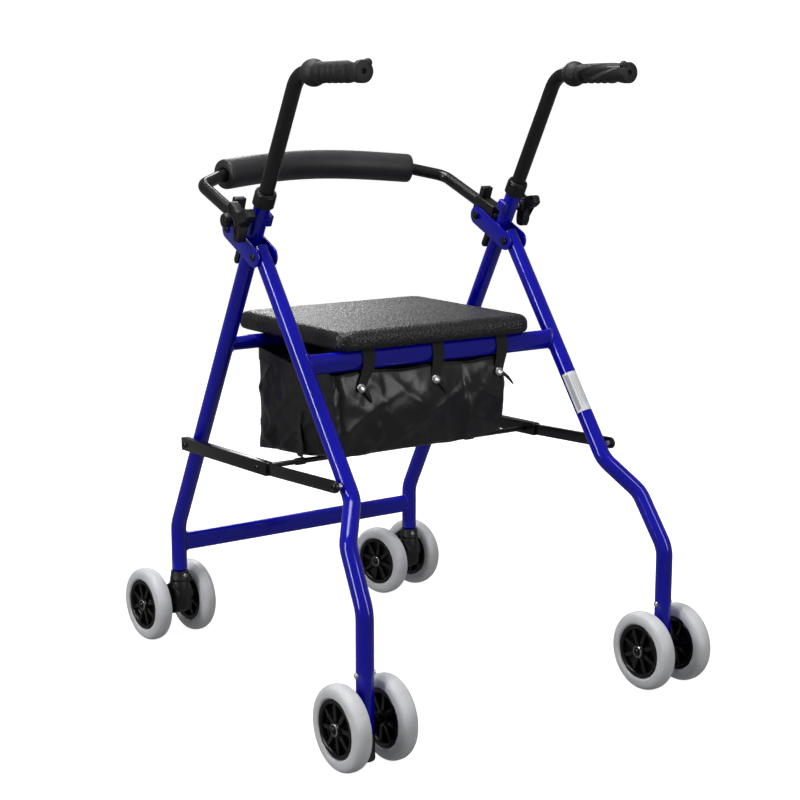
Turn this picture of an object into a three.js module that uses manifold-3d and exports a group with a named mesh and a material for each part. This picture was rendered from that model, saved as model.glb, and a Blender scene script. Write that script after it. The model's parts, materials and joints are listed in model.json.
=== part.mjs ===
// Folding rollator walker with a padded seat, a bag under it and twin wheels at each corner.
// Units are millimetres. +X is the walker's own right, +Y the way it is pushed, +Z up.
// The origin lies on the ground under the middle of the whole object.
import * as THREE from 'three';
import { mergeVertices } from 'three/addons/utils/BufferGeometryUtils.js';
import Module from 'manifold-3d';

const wasm = await Module();
wasm.setup();

// ---------------------------------------------------------------- driving dimensions
const GAP = 0.3;                    // clearance between pieces that touch
const LEG_R = 12.5;                 // frame tube, outside radius
const BAR_R = 11;                   // seat bars, outside radius
const HANDLE_R = 11;                // telescoping handle tube
const HANDLE_BORE = 11.7;           // bore of the front leg that the handle slides in
const HANDLE_TRAVEL = 130;          // height adjustment
const HANDLE_INSET = 62;            // length of the handle tube that stays in the leg
const LEG_BEND = 45;                // bend radii of the tubes' middles
const HANDLE_BEND = 38;
const BACK_BEND = 24;
const WHEEL_R = 60;
const TYRE_W = 27;
const HUB_R = 41;
const HUB_W = 24;
const AXLE_R = 4;
const SIDES = 12;                   // facets round a tube
const PLATE_T = 3;                  // hinge plates, and their inner faces' distance from the leg's middle
const PLATE_IN = LEG_R + 1.2;
const NUT_HALF = 9;                 // square nut behind the star knob
const NUT_H = 8;
const PLATE_R = 15;                 // round ends of the hinge plates
const HOLDER_HALF = 11.2;

const CENTRE_Y = 4.45;              // middle of the object's length, moved onto the origin

// Side view places (y, z), before that move, and the x of each side's frame plane
const SIDE_X = 231;                 // plane of the front leg, handle and bracket
const FRONT_TOP = [-6.3, 745.3];    // mouth of the front leg tube
const FRONT_BEND = [290.4, 194.8];
const FRONT_FOOT_Z = 116;
const HANDLE_TOP_Z = 917.2;
const KNOB_Z = 711;
const GRIP_END_Y = -263;
const REAR_PIVOT = [3.4, 656.6];
const BRACKET_FRONT = [78.3, 692.6];
const KNEE = [229, -227, 341];      // rear leg: first bend
const CALF = [265, -270, 292];      // second bend, outermost stretch begins
const ANKLE = [272, -320.6, 214];   // third bend, the leg runs straight down below it
const REAR_FOOT_Z = 44;
const SEAT_BAR_Z = 515;             // round bar that the seat turns on
const REAR_BAR_Z = 511;             // flat-oval bar that the seat rests on
const OVAL_HALF_Y = 7.5;            // flat-oval bars, half thickness and half height
const OVAL_HALF_Z = 15;
const CROSS_BAR = [288, 165];
const LINK_X = 251.3;               // plane of the folding side links
const LINK_FRONT = [212.5, 344.2];
const LINK_MID = [-14, 350.7];
const LINK_REAR = [-217, 361];
const BACK_END = [49, 698];         // lower end of the backrest arm, in the holder
const BACK_CORNER = [186, 751];
const FOAM_END = [176, 214.7, 764.2];
const FOAM_MIDDLE = [243, 774];
const BACK_R = 9.5;
const FOAM_R = 23.5;
const REAR_TWIN = 37;               // half the distance between the two tyres of a pair
const FRONT_TWIN = 42;
const CASTER_LEAD = 31;             // the axle stands this far ahead of the swivel stem
const CASTER_TURN = { left: 4, right: 12 };
const BRAKE_TRAVEL = 8;

// ---------------------------------------------------------------- finishes
const finish = (color, roughness, metalness = 0) =>
  new THREE.MeshStandardMaterial({ color, roughness, metalness });
const BLUE = finish(0x1717a8, 0.25, 0.3);
const SATIN_BLACK = finish(0x141415, 0.4, 0.2);
const PLASTIC = finish(0x1b1b1c, 0.6);
const RUBBER = finish(0x2a2b2d, 0.85);
const TYRE = finish(0xc9cbce, 0.7);
const FOAM = finish(0x333438, 0.9);
const VINYL = finish(0x222224, 0.7);
const NYLON = finish(0x161618, 0.6);
const STEEL = finish(0xb8babd, 0.3, 1);

// ---------------------------------------------------------------- solids
function toManifold(geometry) {
  const bare = geometry.clone();
  bare.deleteAttribute('normal');
  bare.deleteAttribute('uv');
  const merged = mergeVertices(bare, 1e-4);
  return new wasm.Manifold(new wasm.Mesh({
    numProp: 3,
    vertProperties: Float32Array.from(merged.attributes.position.array),
    triVerts: Uint32Array.from(merged.index.array),
  }));
}

function toGeometry(solid) {
  const mesh = solid.getMesh();
  const geometry = new THREE.BufferGeometry();
  geometry.setAttribute('position', new THREE.BufferAttribute(mesh.vertProperties, 3));
  geometry.setIndex(new THREE.BufferAttribute(mesh.triVerts, 1));
  return geometry;
}

const join = (...solids) => solids.reduce((whole, solid) => whole.add(solid));
const cut = (solid, ...tools) => tools.reduce((rest, tool) => rest.subtract(tool), solid);

// A path that runs straight from station to station, one extrusion step each
class StationPath extends THREE.Curve {
  constructor(points) {
    super();
    this.points = points;
  }

  getPoint(t, target = new THREE.Vector3()) {
    const place = t * (this.points.length - 1);
    const index = Math.min(Math.floor(place), this.points.length - 2);
    return target.lerpVectors(this.points[index], this.points[index + 1], place - index);
  }

  getUtoTmapping(u) {
    return u;
  }
}

// Stations along a bent tube: straight stretches, and a round bend of the radius at each inner point
function bentStations(points, radius, bendSteps) {
  const stations = [points[0]];
  for (let i = 1; i < points.length - 1; i += 1) {
    const before = points[i - 1].clone().sub(points[i]).normalize();
    const after = points[i + 1].clone().sub(points[i]).normalize();
    const half = before.angleTo(after) / 2;
    const reach = radius / Math.tan(half);
    const start = points[i].clone().addScaledVector(before, reach);
    const end = points[i].clone().addScaledVector(after, reach);
    const toCentre = before.clone().add(after).normalize();
    const centre = points[i].clone().addScaledVector(toCentre, radius / Math.sin(half));
    const from = start.clone().sub(centre);
    const turn = from.clone().cross(end.clone().sub(centre)).normalize();
    const angle = Math.PI - 2 * half;
    for (let k = 0; k <= bendSteps; k += 1) {
      stations.push(from.clone().applyAxisAngle(turn, (angle * k) / bendSteps).add(centre));
    }
  }
  stations.push(points[points.length - 1]);
  return stations;
}

function roundShape(radius, hole = 0) {
  const shape = new THREE.Shape();
  shape.absarc(0, 0, radius, 0, 2 * Math.PI, false);
  if (hole > 0) {
    const inner = new THREE.Path();
    inner.absarc(0, 0, hole, 0, 2 * Math.PI, true);
    shape.holes.push(inner);
  }
  return shape;
}

function sweep(stations, radius, hole = 0, sides = SIDES) {
  return new THREE.ExtrudeGeometry(roundShape(radius, hole), {
    steps: stations.length - 1,
    curveSegments: sides / 2,
    extrudePath: new StationPath(stations),
    bevelEnabled: false,
  });
}

const at = (x, [y, z]) => new THREE.Vector3(x, y, z);
const tube = (points, radius, bend, steps = 3) => sweep(bentStations(points, bend, steps), radius);
const rod = (from, to, radius, sides = SIDES) => sweep([from, to], radius, 0, sides);

// Rod along X through a side-view place
const pinX = (x0, x1, yz, radius, sides = 12) => rod(at(x0, yz), at(x1, yz), radius, sides);

function block(x0, x1, y0, y1, z0, z1) {
  return new THREE.BoxGeometry(x1 - x0, y1 - y0, z1 - z0)
    .translate((x0 + x1) / 2, (y0 + y1) / 2, (z0 + z1) / 2);
}

// Outline in the YZ plane, given as a shape in (y, z), stood up and extruded along X
function plateX(shape, x0, x1, curveSegments = 3) {
  const geometry = new THREE.ExtrudeGeometry(shape, { depth: x1 - x0, bevelEnabled: false, curveSegments });
  const turn = new THREE.Matrix4().makeBasis(
    new THREE.Vector3(0, 1, 0), new THREE.Vector3(0, 0, 1), new THREE.Vector3(1, 0, 0));
  return geometry.applyMatrix4(turn).translate(x0, 0, 0);
}

// Surface of revolution about X: profile points are [x, radius]
function turnedX(profile, segments) {
  const points = profile.map(([x, radius]) => new THREE.Vector2(radius, x));
  return new THREE.LatheGeometry(points, segments).rotateZ(-Math.PI / 2);
}

// Surface of revolution about Z: profile points are [radius, z]
function turnedZ(profile, segments) {
  return new THREE.LatheGeometry(profile.map((p) => new THREE.Vector2(...p)), segments).rotateX(Math.PI / 2);
}

// Outline with rounded ends between two side-view places
function stadium(a, b, radius) {
  const angle = Math.atan2(b[1] - a[1], b[0] - a[0]);
  const shape = new THREE.Shape();
  shape.absarc(b[0], b[1], radius, angle - Math.PI / 2, angle + Math.PI / 2, false);
  shape.absarc(a[0], a[1], radius, angle + Math.PI / 2, angle + 1.5 * Math.PI, false);
  shape.closePath();
  return shape;
}

const along = (a, b, distance) => {
  const length = Math.hypot(b[0] - a[0], b[1] - a[1]);
  return [a[0] + ((b[0] - a[0]) * distance) / length, a[1] + ((b[1] - a[1]) * distance) / length];
};

// The place on the line through a and b at height z
const atHeight = (a, b, z) => [a[0] + ((b[0] - a[0]) * (z - a[1])) / (b[1] - a[1]), z];

// Mirror a right-hand solid to the left side
function mirrored(geometry) {
  const source = geometry.index ? geometry.clone() : mergeVertices(geometry);
  const flipped = source.scale(-1, 1, 1);
  const order = Array.from(flipped.index.array);
  for (let i = 0; i < order.length; i += 3) {
    [order[i], order[i + 1]] = [order[i + 1], order[i]];
  }
  flipped.setIndex(order);
  return flipped;
}

const walker = new THREE.Group();
walker.position.y = -CENTRE_Y;

function add(name, geometry, material, parent = walker) {
  const mesh = new THREE.Mesh(geometry, material);
  mesh.name = name;
  parent.add(mesh);
  return mesh;
}

// The same piece on both sides: made for the right, mirrored for the left
function addPair(name, geometry, material) {
  add(`${name}_right`, geometry, material);
  add(`${name}_left`, mirrored(geometry), material);
}

// ---------------------------------------------------------------- front frame
const KNOB_AT = atHeight(FRONT_TOP, FRONT_BEND, KNOB_Z);
const FRONT_AT_SEAT = atHeight(FRONT_TOP, FRONT_BEND, SEAT_BAR_Z);
const frontLine = [
  at(SIDE_X, FRONT_TOP),
  at(SIDE_X, FRONT_BEND),
  at(SIDE_X, [FRONT_BEND[0], FRONT_FOOT_Z]),
];

// Angle of the front leg's upper part, from upright
const legLean = Math.atan2(FRONT_BEND[0] - FRONT_TOP[0], FRONT_TOP[1] - FRONT_BEND[1]);

// Square nut on the leg's inner side for the knob's stud, or the space round it
function weldNut(clearance) {
  const half = NUT_HALF + clearance;
  return toManifold(block(-NUT_H - clearance, clearance, -half, half, -half, half)
    .rotateX(legLean)
    .translate(SIDE_X - LEG_R + 2, ...KNOB_AT));
}

function frontLeg() {
  const tubeBody = toManifold(tube(frontLine, LEG_R, LEG_BEND));
  const down = frontLine[1].clone().sub(frontLine[0]).normalize();
  const mouth = frontLine[0].clone().addScaledVector(down, -5);
  const boreEnd = frontLine[0].clone().addScaledVector(down, HANDLE_INSET + HANDLE_TRAVEL + 6);
  const handleBore = toManifold(rod(mouth, boreEnd, HANDLE_BORE));
  const stemTop = at(SIDE_X, [FRONT_BEND[0], FRONT_FOOT_Z + 34]);
  const stemBore = toManifold(rod(at(SIDE_X, [FRONT_BEND[0], FRONT_FOOT_Z - 5]), stemTop, 6.5, 12));
  const studHole = toManifold(pinX(SIDE_X, SIDE_X + 20, KNOB_AT, 4.6));
  return cut(join(tubeBody, weldNut(0)), handleBore, stemBore, studHole);
}

const frontLegClearance = toManifold(tube(frontLine, LEG_R + GAP, LEG_BEND));

addPair('front_leg', toGeometry(frontLeg()), BLUE);

function barBetweenLegs(geometry, clearance) {
  const bar = toManifold(geometry);
  const other = toManifold(mirrored(toGeometry(clearance)));
  const parts = cut(bar, clearance, other).decompose();
  return toGeometry(parts.sort((a, b) => b.volume() - a.volume())[0]);
}

add('front_seat_bar', barBetweenLegs(pinX(-SIDE_X, SIDE_X, FRONT_AT_SEAT, BAR_R, SIDES), frontLegClearance), BLUE);

// Flat-oval bar across the frame, taller than it is thick
function ovalBar([y, z]) {
  const oval = new THREE.Shape();
  const lift = OVAL_HALF_Z - OVAL_HALF_Y;
  oval.absarc(y, z + lift, OVAL_HALF_Y, 0, Math.PI, false);
  oval.absarc(y, z - lift, OVAL_HALF_Y, Math.PI, 2 * Math.PI, false);
  oval.closePath();
  return plateX(oval, -SIDE_X, SIDE_X);
}

add('front_cross_bar', barBetweenLegs(ovalBar(CROSS_BAR), frontLegClearance), BLUE);

// Hinge plates: one on each face of the front leg, carrying the rear leg's pivot and the backrest holder
function hingePlate(x0) {
  const shape = stadium(REAR_PIVOT, BRACKET_FRONT, PLATE_R);
  const hole = new THREE.Path();
  hole.absarc(REAR_PIVOT[0], REAR_PIVOT[1], AXLE_R + 1, 0, 2 * Math.PI, true);
  shape.holes.push(hole);
  return plateX(shape, x0, x0 + PLATE_T);
}

addPair('hinge_plate_outer', hingePlate(SIDE_X + PLATE_IN), BLUE);
const innerPlate = cut(toManifold(hingePlate(SIDE_X - PLATE_IN - PLATE_T)), weldNut(GAP));
addPair('hinge_plate_inner', toGeometry(innerPlate), BLUE);

const boltReach = PLATE_IN + PLATE_T + GAP;
const pivotBolt = turnedX([
  [-boltReach - 6, 0], [-boltReach - 6, 6.5], [-boltReach, 6.5], [-boltReach, AXLE_R],
  [boltReach, AXLE_R], [boltReach, 7], [boltReach + 4, 6], [boltReach + 4, 0],
], 12).translate(SIDE_X, ...REAR_PIVOT);
addPair('rear_pivot_bolt', pivotBolt, STEEL);

// Collar: a sleeve over the mouth of the front leg, open for the handle tube
const COLLAR_UP = 7;
const collar = turnedZ([
  [LEG_R + GAP, -15], [LEG_R + 3.5, -15], [LEG_R + 3.5, COLLAR_UP - 2], [LEG_R + 2, COLLAR_UP],
  [HANDLE_R + GAP, COLLAR_UP], [HANDLE_R + GAP, GAP], [LEG_R + GAP, GAP], [LEG_R + GAP, -15],
], 20);
collar.rotateX(legLean).translate(SIDE_X, ...FRONT_TOP);
addPair('collar', collar, PLASTIC);

// ---------------------------------------------------------------- handles
const HANDLE_CORNER = atHeight(FRONT_TOP, FRONT_BEND, HANDLE_TOP_Z);

function handleTube() {
  const rearEnd = [GRIP_END_Y + 10, HANDLE_TOP_Z + 1.5];
  return tube([
    at(SIDE_X, along(FRONT_TOP, FRONT_BEND, HANDLE_INSET)), at(SIDE_X, HANDLE_CORNER), at(SIDE_X, rearEnd),
  ], HANDLE_R, HANDLE_BEND, 5);
}

addPair('handle_tube', handleTube(), SATIN_BLACK);

// Grip: a ball flange in front of the hand, then the sleeve, closed at its rear end
const gripBore = HANDLE_R + GAP + 0.2;
const GRIP_FLANGE_Y = -140.6;
const gripLength = GRIP_FLANGE_Y - GRIP_END_Y;
const gripProfile = [
  [gripBore, 14], [14, 14], [19, 6], [19, -5], [14.2, -12],
  [15.4, -90], [15.2, -gripLength + 8], [12.5, -gripLength], [0, -gripLength],
  [0, -gripLength + 8], [gripBore, -gripLength + 8], [gripBore, 14],
];
const grip = turnedZ(gripProfile.reverse(), 16).rotateX(-Math.PI / 2 - 0.009)
  .translate(SIDE_X, GRIP_FLANGE_Y, HANDLE_CORNER[1] + 0.4);
addPair('grip', grip, RUBBER);

// Star knob: three rounded arms on a short hub, with the stud that clamps the handle tube
function starKnob() {
  const shape = new THREE.Shape();
  const armAt = 24;
  const armR = 9;
  const first = THREE.MathUtils.degToRad(160);
  for (let i = 0; i < 3; i += 1) {
    const angle = first + (i * 2 * Math.PI) / 3;
    const valley = angle + Math.PI / 3;
    shape.absarc(armAt * Math.cos(angle), armAt * Math.sin(angle), armR, angle - 1.25, angle + 1.25, false);
    shape.lineTo(12.5 * Math.cos(valley), 12.5 * Math.sin(valley));
  }
  shape.closePath();
  const star = plateX(shape, 24, 37, 3);
  const stem = pinX(LEG_R - 1, 25, [0, 0], AXLE_R);
  const hub = pinX(18, 25, [0, 0], 9, 12);
  return toGeometry(join(toManifold(star), toManifold(stem), toManifold(hub))).translate(SIDE_X, ...KNOB_AT);
}

addPair('star_knob', starKnob(), PLASTIC);

// ---------------------------------------------------------------- backrest
const foamStart = new THREE.Vector3(...FOAM_END);
const armLine = [at(SIDE_X - 1, BACK_END), at(SIDE_X - 1, BACK_CORNER), foamStart];

// Half of the bow, from the foam's end to the middle
function bowStations(count) {
  const stations = [];
  for (let i = 0; i <= count; i += 1) {
    const part = Math.sin((Math.PI / 2) * (i / count));
    const x = foamStart.x * (1 - i / count);
    stations.push(new THREE.Vector3(x,
      foamStart.y + (FOAM_MIDDLE[0] - foamStart.y) * part,
      foamStart.z + (FOAM_MIDDLE[1] - foamStart.z) * part));
  }
  return stations;
}

const flipX = (point) => new THREE.Vector3(-point.x, point.y, point.z);
const bow = bowStations(4);
const bowAcross = [...bow, ...bow.slice(0, -1).reverse().map(flipX)];
const rightArm = bentStations(armLine, BACK_BEND, 4).slice(0, -1);
const backrestStations = [...rightArm, ...bowAcross, ...rightArm.slice().reverse().map(flipX)];
add('backrest_tube', sweep(backrestStations, BACK_R), SATIN_BLACK);
add('backrest_foam', sweep(bowAcross, FOAM_R, BACK_R + 2), FOAM);

// Holder: a moulded socket between the hinge plates, with a tab on top and a tongue down the leg's front
const armAngle = Math.atan2(BACK_CORNER[1] - BACK_END[1], BACK_CORNER[0] - BACK_END[0]);
const pinCentre = [
  BACK_END[0] + 16 * Math.cos(armAngle) - 3 * Math.sin(armAngle),
  BACK_END[1] + 16 * Math.sin(armAngle) + 3 * Math.cos(armAngle),
];

function holder() {
  const local = (u0, u1, v0, v1, half) => toManifold(block(-half, half, u0, u1, v0, v1)
    .rotateX(armAngle)
    .translate(SIDE_X - 1, ...BACK_END));
  const body = local(-6, 44, -25, 13, HOLDER_HALF);
  const tab = local(29, 39, 12, 30, 10);
  const socket = toManifold(rod(at(SIDE_X - 1, along(BACK_END, BACK_CORNER, -1)),
    at(SIDE_X - 1, along(BACK_END, BACK_CORNER, 60)), BACK_R + 0.5));
  const tongueTop = [38, 705];
  const tongueEnd = along(tongueTop, [tongueTop[0] + FRONT_BEND[0] - FRONT_TOP[0],
    tongueTop[1] + FRONT_BEND[1] - FRONT_TOP[1]], 64);
  const tongue = toManifold(plateX(stadium([tongueTop[0] + 6, tongueTop[1] - 12], tongueEnd, 5.5),
    SIDE_X - 9, SIDE_X + 9));
  const pinHole = toManifold(pinX(SIDE_X, SIDE_X + 20, pinCentre, 3.6));
  return cut(join(body, tab, tongue), frontLegClearance, socket, pinHole);
}

addPair('backrest_holder', toGeometry(holder()), PLASTIC);

// Spring pull pin: its nose waits at the tube's wall, its knob stands outside the bracket
const pullPin = turnedX([
  [9.6, 0], [9.6, 3], [19, 3], [19, 6], [21, 10], [30, 10.5], [32, 8.5], [32, 0],
], 16).translate(SIDE_X, ...pinCentre);
addPair('lock_pin', pullPin, SATIN_BLACK);

// ---------------------------------------------------------------- rear frame
const REAR_AT_SEAT = atHeight(REAR_PIVOT, [KNEE[1], KNEE[2]], REAR_BAR_Z);
const rearTop = along([KNEE[1], KNEE[2]], REAR_PIVOT,
  Math.hypot(REAR_PIVOT[0] - KNEE[1], REAR_PIVOT[1] - KNEE[2]) + 13);
const rearLine = [
  at(SIDE_X, rearTop), new THREE.Vector3(...KNEE), new THREE.Vector3(...CALF), new THREE.Vector3(...ANKLE),
  at(ANKLE[0], [ANKLE[1], REAR_FOOT_Z]),
];
const rearLegClearance = toManifold(tube(rearLine, LEG_R + GAP, LEG_BEND));
const CARRIER_R = 8.5;
const BORE_R = 10.2;

function rearLeg() {
  const body = toManifold(tube(rearLine, LEG_R, LEG_BEND));
  const foot = [ANKLE[0], ANKLE[1]];
  const bore = toManifold(rod(new THREE.Vector3(...foot, REAR_FOOT_Z - 5), new THREE.Vector3(...foot, 150), BORE_R));
  const slot = toManifold(plateX(stadium([foot[1], WHEEL_R], [foot[1], WHEEL_R + BRAKE_TRAVEL], AXLE_R + 0.6),
    foot[0] - 20, foot[0] + 20));
  const pivotHole = toManifold(pinX(SIDE_X - 20, SIDE_X + 20, REAR_PIVOT, AXLE_R + 0.4));
  const linkPin = toManifold(pinX(SIDE_X + 6, LINK_X - 2.5 - 0.5, LINK_REAR, AXLE_R));
  return cut(join(body, linkPin), bore, slot, pivotHole);
}

addPair('rear_leg', toGeometry(rearLeg()), BLUE);
add('rear_seat_bar', barBetweenLegs(ovalBar(REAR_AT_SEAT), rearLegClearance), BLUE);

// Wheel carrier: a post sliding in the leg, with the axle of both wheels
function wheelCarrier() {
  const foot = [ANKLE[1], WHEEL_R];
  const post = toManifold(rod(at(ANKLE[0], [foot[0], 51]), at(ANKLE[0], [foot[0], 118]), CARRIER_R));
  const axle = toManifold(pinX(ANKLE[0] - REAR_TWIN - 10, ANKLE[0] + REAR_TWIN + 10, foot, AXLE_R));
  const spacers = [-1, 1].map((side) => {
    const near = ANKLE[0] + side * (LEG_R + 0.5);
    const far = ANKLE[0] + side * (REAR_TWIN - HUB_W / 2 - GAP);
    return toManifold(pinX(Math.min(near, far), Math.max(near, far), foot, 8));
  });
  return toGeometry(join(post, axle, ...spacers));
}

addPair('wheel_carrier', wheelCarrier(), SATIN_BLACK);

// Rubber brake foot: plugs the leg's end and waits just above the ground
const brakeFoot = turnedZ([
  [0, BRAKE_TRAVEL - 1], [12.5, BRAKE_TRAVEL - 1], [13.5, 12], [12.5, REAR_FOOT_Z - GAP],
  [BORE_R - 0.4, REAR_FOOT_Z - GAP], [BORE_R - 0.4, 49], [0, 49],
], 16).translate(ANKLE[0], ANKLE[1], 0);
addPair('brake_foot', brakeFoot, RUBBER);

// ---------------------------------------------------------------- casters
const caster = { left: new THREE.Group(), right: new THREE.Group() };
const NECK_Z = 101;

function casterFork() {
  const half = 19;
  const shape = new THREE.Shape();
  shape.moveTo(-17, NECK_Z - 1);
  shape.lineTo(17, NECK_Z - 1);
  shape.quadraticCurveTo(44, 92, 47, 66);
  shape.absarc(CASTER_LEAD, WHEEL_R - 8, 16, 0, -Math.PI * 0.75, true);
  shape.quadraticCurveTo(-6, 58, -17, 84);
  shape.closePath();
  const body = toManifold(plateX(shape, -half, half));
  const stem = toManifold(rod(new THREE.Vector3(0, 0, 80), new THREE.Vector3(0, 0, FRONT_FOOT_Z + 30), 5, 12));
  const axle = toManifold(pinX(-FRONT_TWIN - 10, FRONT_TWIN + 10, [CASTER_LEAD, WHEEL_R], AXLE_R));
  const spacers = toManifold(pinX(-FRONT_TWIN + HUB_W / 2 + GAP, FRONT_TWIN - HUB_W / 2 - GAP,
    [CASTER_LEAD, WHEEL_R], 8));
  return toGeometry(join(body, stem, axle, spacers));
}

const neck = turnedZ([
  [5.6, NECK_Z - 0.4], [14, NECK_Z - 0.4], [14.5, NECK_Z + 6], [13.5, FRONT_FOOT_Z - GAP],
  [5.6, FRONT_FOOT_Z - GAP], [5.6, NECK_Z - 0.4],
], 16).translate(SIDE_X, FRONT_BEND[0], 0);
addPair('caster_neck', neck, PLASTIC);

// ---------------------------------------------------------------- wheels
function tyreGeometry() {
  const half = TYRE_W / 2;
  const inner = HUB_R + 0.8;
  return turnedX([
    [-half + 2, inner], [-half, WHEEL_R - 8], [-half + 7, WHEEL_R],
    [half - 7, WHEEL_R], [half, WHEEL_R - 8], [half - 2, inner], [-half + 2, inner],
  ], 24);
}

// Spoked hub: a disc with eight windows and a bore
function hubGeometry() {
  const shape = roundShape(HUB_R, AXLE_R + 0.5);
  const spokes = 8;
  for (let i = 0; i < spokes; i += 1) {
    const middle = ((i + 0.5) * 2 * Math.PI) / spokes;
    const window = new THREE.Path();
    const corners = [[15, -0.2], [33, -0.28], [33, 0.28], [15, 0.2]];
    window.setFromPoints(corners.map(([r, a]) =>
      new THREE.Vector2(r * Math.cos(middle - a), r * Math.sin(middle - a))));
    window.closePath();
    shape.holes.push(window);
  }
  return plateX(shape, -HUB_W / 2, HUB_W / 2, 8);
}

function addWheel(name, x, y, parent) {
  const tyre = add(`${name}_tyre`, tyreGeometry(), TYRE, parent);
  const hub = add(`${name}_hub`, hubGeometry(), PLASTIC, parent);
  tyre.position.set(x, y, WHEEL_R);
  hub.position.set(x, y, WHEEL_R);
}

for (const [side, sign] of [['left', -1], ['right', 1]]) {
  const group = caster[side];
  group.position.set(sign * SIDE_X, FRONT_BEND[0], 0);
  group.rotation.z = THREE.MathUtils.degToRad(CASTER_TURN[side]);
  walker.add(group);
  add(`caster_fork_${side}`, casterFork(), PLASTIC, group);
  for (const [place, out] of [['outer', 1], ['inner', -1]]) {
    addWheel(`front_${side}_${place}`, sign * out * FRONT_TWIN, CASTER_LEAD, group);
    addWheel(`rear_${side}_${place}`, sign * (ANKLE[0] + out * REAR_TWIN), ANKLE[1], walker);
  }
}

// ---------------------------------------------------------------- folding side links
const CHANNEL_HALF = 6;
const WALL = 1.5;
const BAR_HALF = 2.5;
const LINK_H = 9;

// A side-view frame laid along a link: u runs from a to b, v is up
function linkBlock(a, b, u0, u1, v0, v1, x0, x1) {
  const angle = Math.atan2(b[1] - a[1], b[0] - a[0]);
  const flip = Math.cos(angle) < 0 ? -1 : 1;
  return toManifold(block(x0, x1, Math.min(flip * u0, flip * u1), Math.max(flip * u0, flip * u1), v0, v1)
    .rotateX(flip < 0 ? angle - Math.PI : angle)
    .translate(0, ...a));
}

// Front half: a channel, open below, with its two pivots
function frontLink() {
  const length = Math.hypot(LINK_MID[0] - LINK_FRONT[0], LINK_MID[1] - LINK_FRONT[1]);
  const x0 = LINK_X - CHANNEL_HALF;
  const x1 = LINK_X + CHANNEL_HALF;
  const outside = linkBlock(LINK_FRONT, LINK_MID, -10, length + 26, -LINK_H, LINK_H + 2, x0, x1);
  const inside = linkBlock(LINK_FRONT, LINK_MID, -20, length + 40, -LINK_H - 5, LINK_H + 0.5, x0 + WALL, x1 - WALL);
  const legPin = toManifold(pinX(SIDE_X + LEG_R + 3.5, x1 + 2, LINK_FRONT, AXLE_R));
  const midPin = toManifold(pinX(x0 + 0.5, x1 - 0.5, LINK_MID, 3.5));
  return cut(join(cut(outside, inside), legPin, midPin), frontLegClearance);
}

addPair('link_front', toGeometry(frontLink()), SATIN_BLACK);

function rearLink() {
  const shape = stadium(LINK_MID, LINK_REAR, LINK_H - 0.3);
  const hole = new THREE.Path();
  hole.absarc(...LINK_MID, 4.5, 0, 2 * Math.PI, true);
  shape.holes.push(hole);
  return plateX(shape, LINK_X - BAR_HALF, LINK_X + BAR_HALF);
}

addPair('link_rear', rearLink(), SATIN_BLACK);
const rodReach = LINK_X - CHANNEL_HALF - GAP;
add('cross_rod', pinX(-rodReach, rodReach, LINK_MID, 4), SATIN_BLACK);

// ---------------------------------------------------------------- seat
const SEAT_HALF = 178;
const SEAT_REAR = -123;
const SEAT_FRONT = 192;
const SEAT_CORNER = 24;
const SEAT_BOTTOM = 527.2;
const SEAT_TOP = 556;
const BOARD_T = 5;

function roundedRect(x0, x1, y0, y1, radius) {
  const shape = new THREE.Shape();
  shape.absarc(x1 - radius, y0 + radius, radius, -Math.PI / 2, 0, false);
  shape.absarc(x1 - radius, y1 - radius, radius, 0, Math.PI / 2, false);
  shape.absarc(x0 + radius, y1 - radius, radius, Math.PI / 2, Math.PI, false);
  shape.absarc(x0 + radius, y0 + radius, radius, Math.PI, 1.5 * Math.PI, false);
  shape.closePath();
  return shape;
}

function slab(inset, z0, z1, bevel) {
  const outline = roundedRect(-SEAT_HALF + inset, SEAT_HALF - inset, SEAT_REAR + inset, SEAT_FRONT - inset,
    SEAT_CORNER - inset);
  return new THREE.ExtrudeGeometry(outline, {
    depth: z1 - z0 - 2 * bevel, curveSegments: 3, bevelEnabled: bevel > 0,
    bevelSize: bevel, bevelThickness: bevel, bevelSegments: 1, bevelOffset: -bevel,
  }).translate(0, 0, z0 + bevel);
}

const pad = cut(toManifold(slab(0, SEAT_BOTTOM, SEAT_TOP, 6)),
  toManifold(slab(10, SEAT_BOTTOM - 5, SEAT_BOTTOM + BOARD_T + GAP, 0)));
add('seat_pad', toGeometry(pad), VINYL);

// Seat board with two clips that turn on the front seat bar
function seatBoard() {
  const board = toManifold(slab(10 + GAP, SEAT_BOTTOM, SEAT_BOTTOM + BOARD_T, 0));
  const clips = [-120, 120].map((x) => toManifold(pinX(x - 14, x + 14, FRONT_AT_SEAT, BAR_R + 3.6, 16)));
  const barSpace = toManifold(pinX(-SEAT_HALF, SEAT_HALF, FRONT_AT_SEAT, BAR_R + 0.6, 16));
  return cut(join(board, ...clips), barSpace);
}

add('seat_board', toGeometry(seatBoard()), PLASTIC);

// ---------------------------------------------------------------- bag
const BAG = { x0: -180, x1: 130, y0: -108, y1: 122, z0: 366, z1: 493 };

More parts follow.
